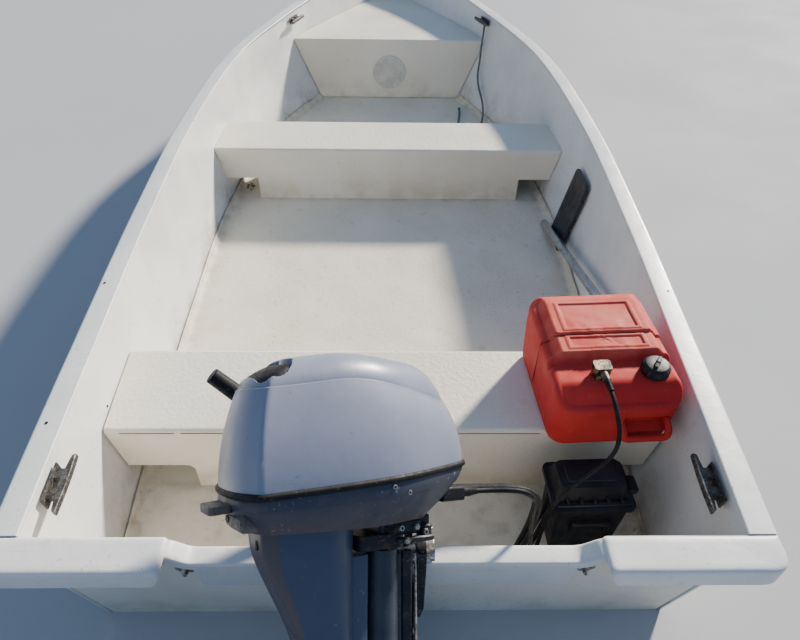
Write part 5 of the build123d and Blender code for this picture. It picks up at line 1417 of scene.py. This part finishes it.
# Crumbs of brown rot: heaps in the port notch and against the drain, as middle, reach and count
crumbForm = dict(
    heaps=[((-640, -62), (26, 26), 26), ((-500, -1925), (60, 30), 22), ((560, -1900), (50, 40), 14)],
    radius=(2.0, 6.5), profile=[(1, 0), (0.9, 0.3), (0.4, 0.5), (0.1, 0.55)], z=8.3,
)
crumbs = []
chance = np.random.default_rng(12)
for middle, reach, count in crumbForm["heaps"]:
    for _ in range(count):
        x, y = np.asarray(middle) + chance.uniform(-1, 1, 2) * reach
        spots, faces = turned(np.array(crumbForm["profile"]) * chance.uniform(*crumbForm["radius"]), 9)
        spots = spots * [1, chance.uniform(0.5, 1), 1]
        crumbs.append(placed((spots, faces), (x, y, crumbForm["z"]), turnFrame(chance.uniform(0, 180))))
makePiece("rotCrumbs", joined(*crumbs), "woodCrumb", sharp=60)

# Screw holes in the rails and the sides as black dots of painted shade, and a crack line as runs of x and z under
# the stern thwart's edge
holeForm = dict(
    dot=[(3.4, 0), (3.4, 0.5), (0.6, 0.6)],
    rails=[(-729, -1742, 394.6), (760, -1294, 401.6), (-764, -1270, 402.6), (783, -560, 415.5), (-783, -560, 415.5)],
    sides=(701.5, -1570, 247),
    cracks=[(-655, -520, 230.5), (-505, -388, 231), (150, 375, 230.5)], crackY=-1643.4, crackWidth=1.5,
)
dot = turned(holeForm["dot"], 16)
holes = [placed(dot, spot) for spot in holeForm["rails"]]
for side in (-1, 1):
    holes.append(placed(dot, holeForm["sides"] * np.array([side, 1, 1]), axesAlong([-side, 0.1, 0.12])))
for first, last, z in holeForm["cracks"]:
    strip = slab(plate(last - first, holeForm["crackWidth"], 0.7), 0, 1.0, 0.3)
    spot = ((first + last) / 2, holeForm["crackY"], z)
    holes.append(placed(strip, spot, [[1, 0, 0], [0, 0, 1], [0, -1, 0]]))
makePiece("holeShadeAndCracks", joined(*holes), "rubber", sharp=50)
print("battery details, crumbs and holes made")


ropeForm = dict(
    cleatY=1010.0, cleatDrop=42, horn=(-46, 27, -7.8), hang=46,
    twist=36, winding=2.9, strandRadius=3.05, width=12,
    route=[
        (504, 946, 318), (500, 908, 250), (488, 880, 182), (492, 820, 138), (502, 760, 112), (510, 704, 84),
        (510, 656, 36), (498, 612, 15), (486, 560, 15), (454, 520, 15), (410, 520, 15), (378, 560, 15),
        (374, 616, 15), (382, 680, 15), (392, 750, 15), (394, 818, 15),
    ],
    whipping=[(5.4, -6), (6.4, -5), (6.7, 0), (6.4, 5), (5.4, 6)],
)


# Frame of a cleat on the inner face of the side: x forward along it, y inward from it
def cleatFrame(side, y, drop):
    z = hullAt([y])["sheer"][0] - drop
    ends = wallX([y + 50, y - 50], z, hullForm["skin"])
    along = unit(np.array([side * (ends[0] - ends[1]), 100, 0]))
    lean = wallX([y], z + 20, hullForm["skin"])[0] - wallX([y], z - 20, hullForm["skin"])[0]
    inward = np.cross(unit(np.array([side * lean, 0, 40])), along) * side
    origin = np.array([side * wallX([y], z, hullForm["skin"])[0], y, z])
    return origin, np.stack([along, inward, np.cross(along, inward)])


# Three strands wound round the rope's line: each follows a helix about it
hitchPlace, hitchAxes = cleatFrame(1, ropeForm["cleatY"], ropeForm["cleatDrop"])
ropeStart = hitchPlace + np.array(ropeForm["horn"]) @ hitchAxes
ropeLine = routeLine([ropeStart, ropeStart - [0, 0, ropeForm["hang"]], *ropeForm["route"]])
ropeLength = float(arcLengths(ropeLine)[-1])
even = np.linspace(0, ropeLength, int(ropeLength / 5))
ropeLine = pointsAt(ropeLine, even)
along = unit(np.gradient(ropeLine, axis=0))
across = unit(np.cross(along, [0.3, 0.2, 1.0]))
upward = np.cross(along, across)
strands = []
for start in (0, 1, 2):
    turn = (2 * math.pi * (even / ropeForm["twist"] + start / 3))[:, None]
    strand = ropeLine + ropeForm["winding"] * (across * np.cos(turn) + upward * np.sin(turn))
    strands.append(tubeAlong(strand, ropeForm["strandRadius"], 8))
ropePiece = makePiece(
    "mooringRope", placed(joined(*strands)), "ropeFibre", stands=("mooring_rope",), sharp=80,
)
tailAxes = np.stack([across[-1], upward[-1], along[-1]])
whippingPiece = makePiece(
    "ropeWhipping", placed(turned(ropeForm["whipping"], 20), ropeLine[-3], tailAxes), "rubber",
    sharp=50,
)
print("rope length", round(ropeLength))


# Nodes that keep their own mesh, by the finish that they take
nodeLooks = dict(
    gelcoatOutside=["keel_batten", "motor_pad"],
    gelcoatInside=["transom", "stern_thwart", "mid_thwart", "bow_bench"],
    platePlastic=["inspection_ring", "inspection_lid"],
    darkFittings=["cleat_stern_port", "cleat_stern_starboard", "cleat_bow_port", "cleat_bow_starboard"],
    bareMetal=[
        "stern_eye_port", "stern_eye_starboard", "bow_eye", "clamp_screw_port", "clamp_screw_starboard", "tilt_tube",
    ],
    brassPlug=["drain_plug"],
    fittingMetal=["tank_fitting"],
    swivelPaint=["swivel_bracket"],
    motorDark=["steering_yokes", "clamp_bracket_port", "clamp_bracket_starboard", "engine_block"],
    lowerPaint=["tiller_bracket", "tiller_arm"],
    legPaint=["gearcase"],
    zincMetal=["trim_tab"],
    agedMetal=["cowl_latch"],
    rubber=["throttle_grip", "fuel_coupling", "cable_socket"],
    blackPlastic=["battery_box", "battery_lid"],
    bladePlastic=["blade", "propeller"],
    poleMetal=["pole"],
)
for look, nodes in nodeLooks.items():
    for node in nodes:
        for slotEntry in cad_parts[node].material_slots:
            slotEntry.material = finish[look]


floorHalf = 40.0
floorCorners = [(x * floorHalf, y * floorHalf, 0) for x, y in ((-1, -1), (1, -1), (1, 1), (-1, 1))]
floorPiece = makePiece("floorPlane", (floorCorners, [(0, 1, 2, 3)]), "floorPaper", body=None)
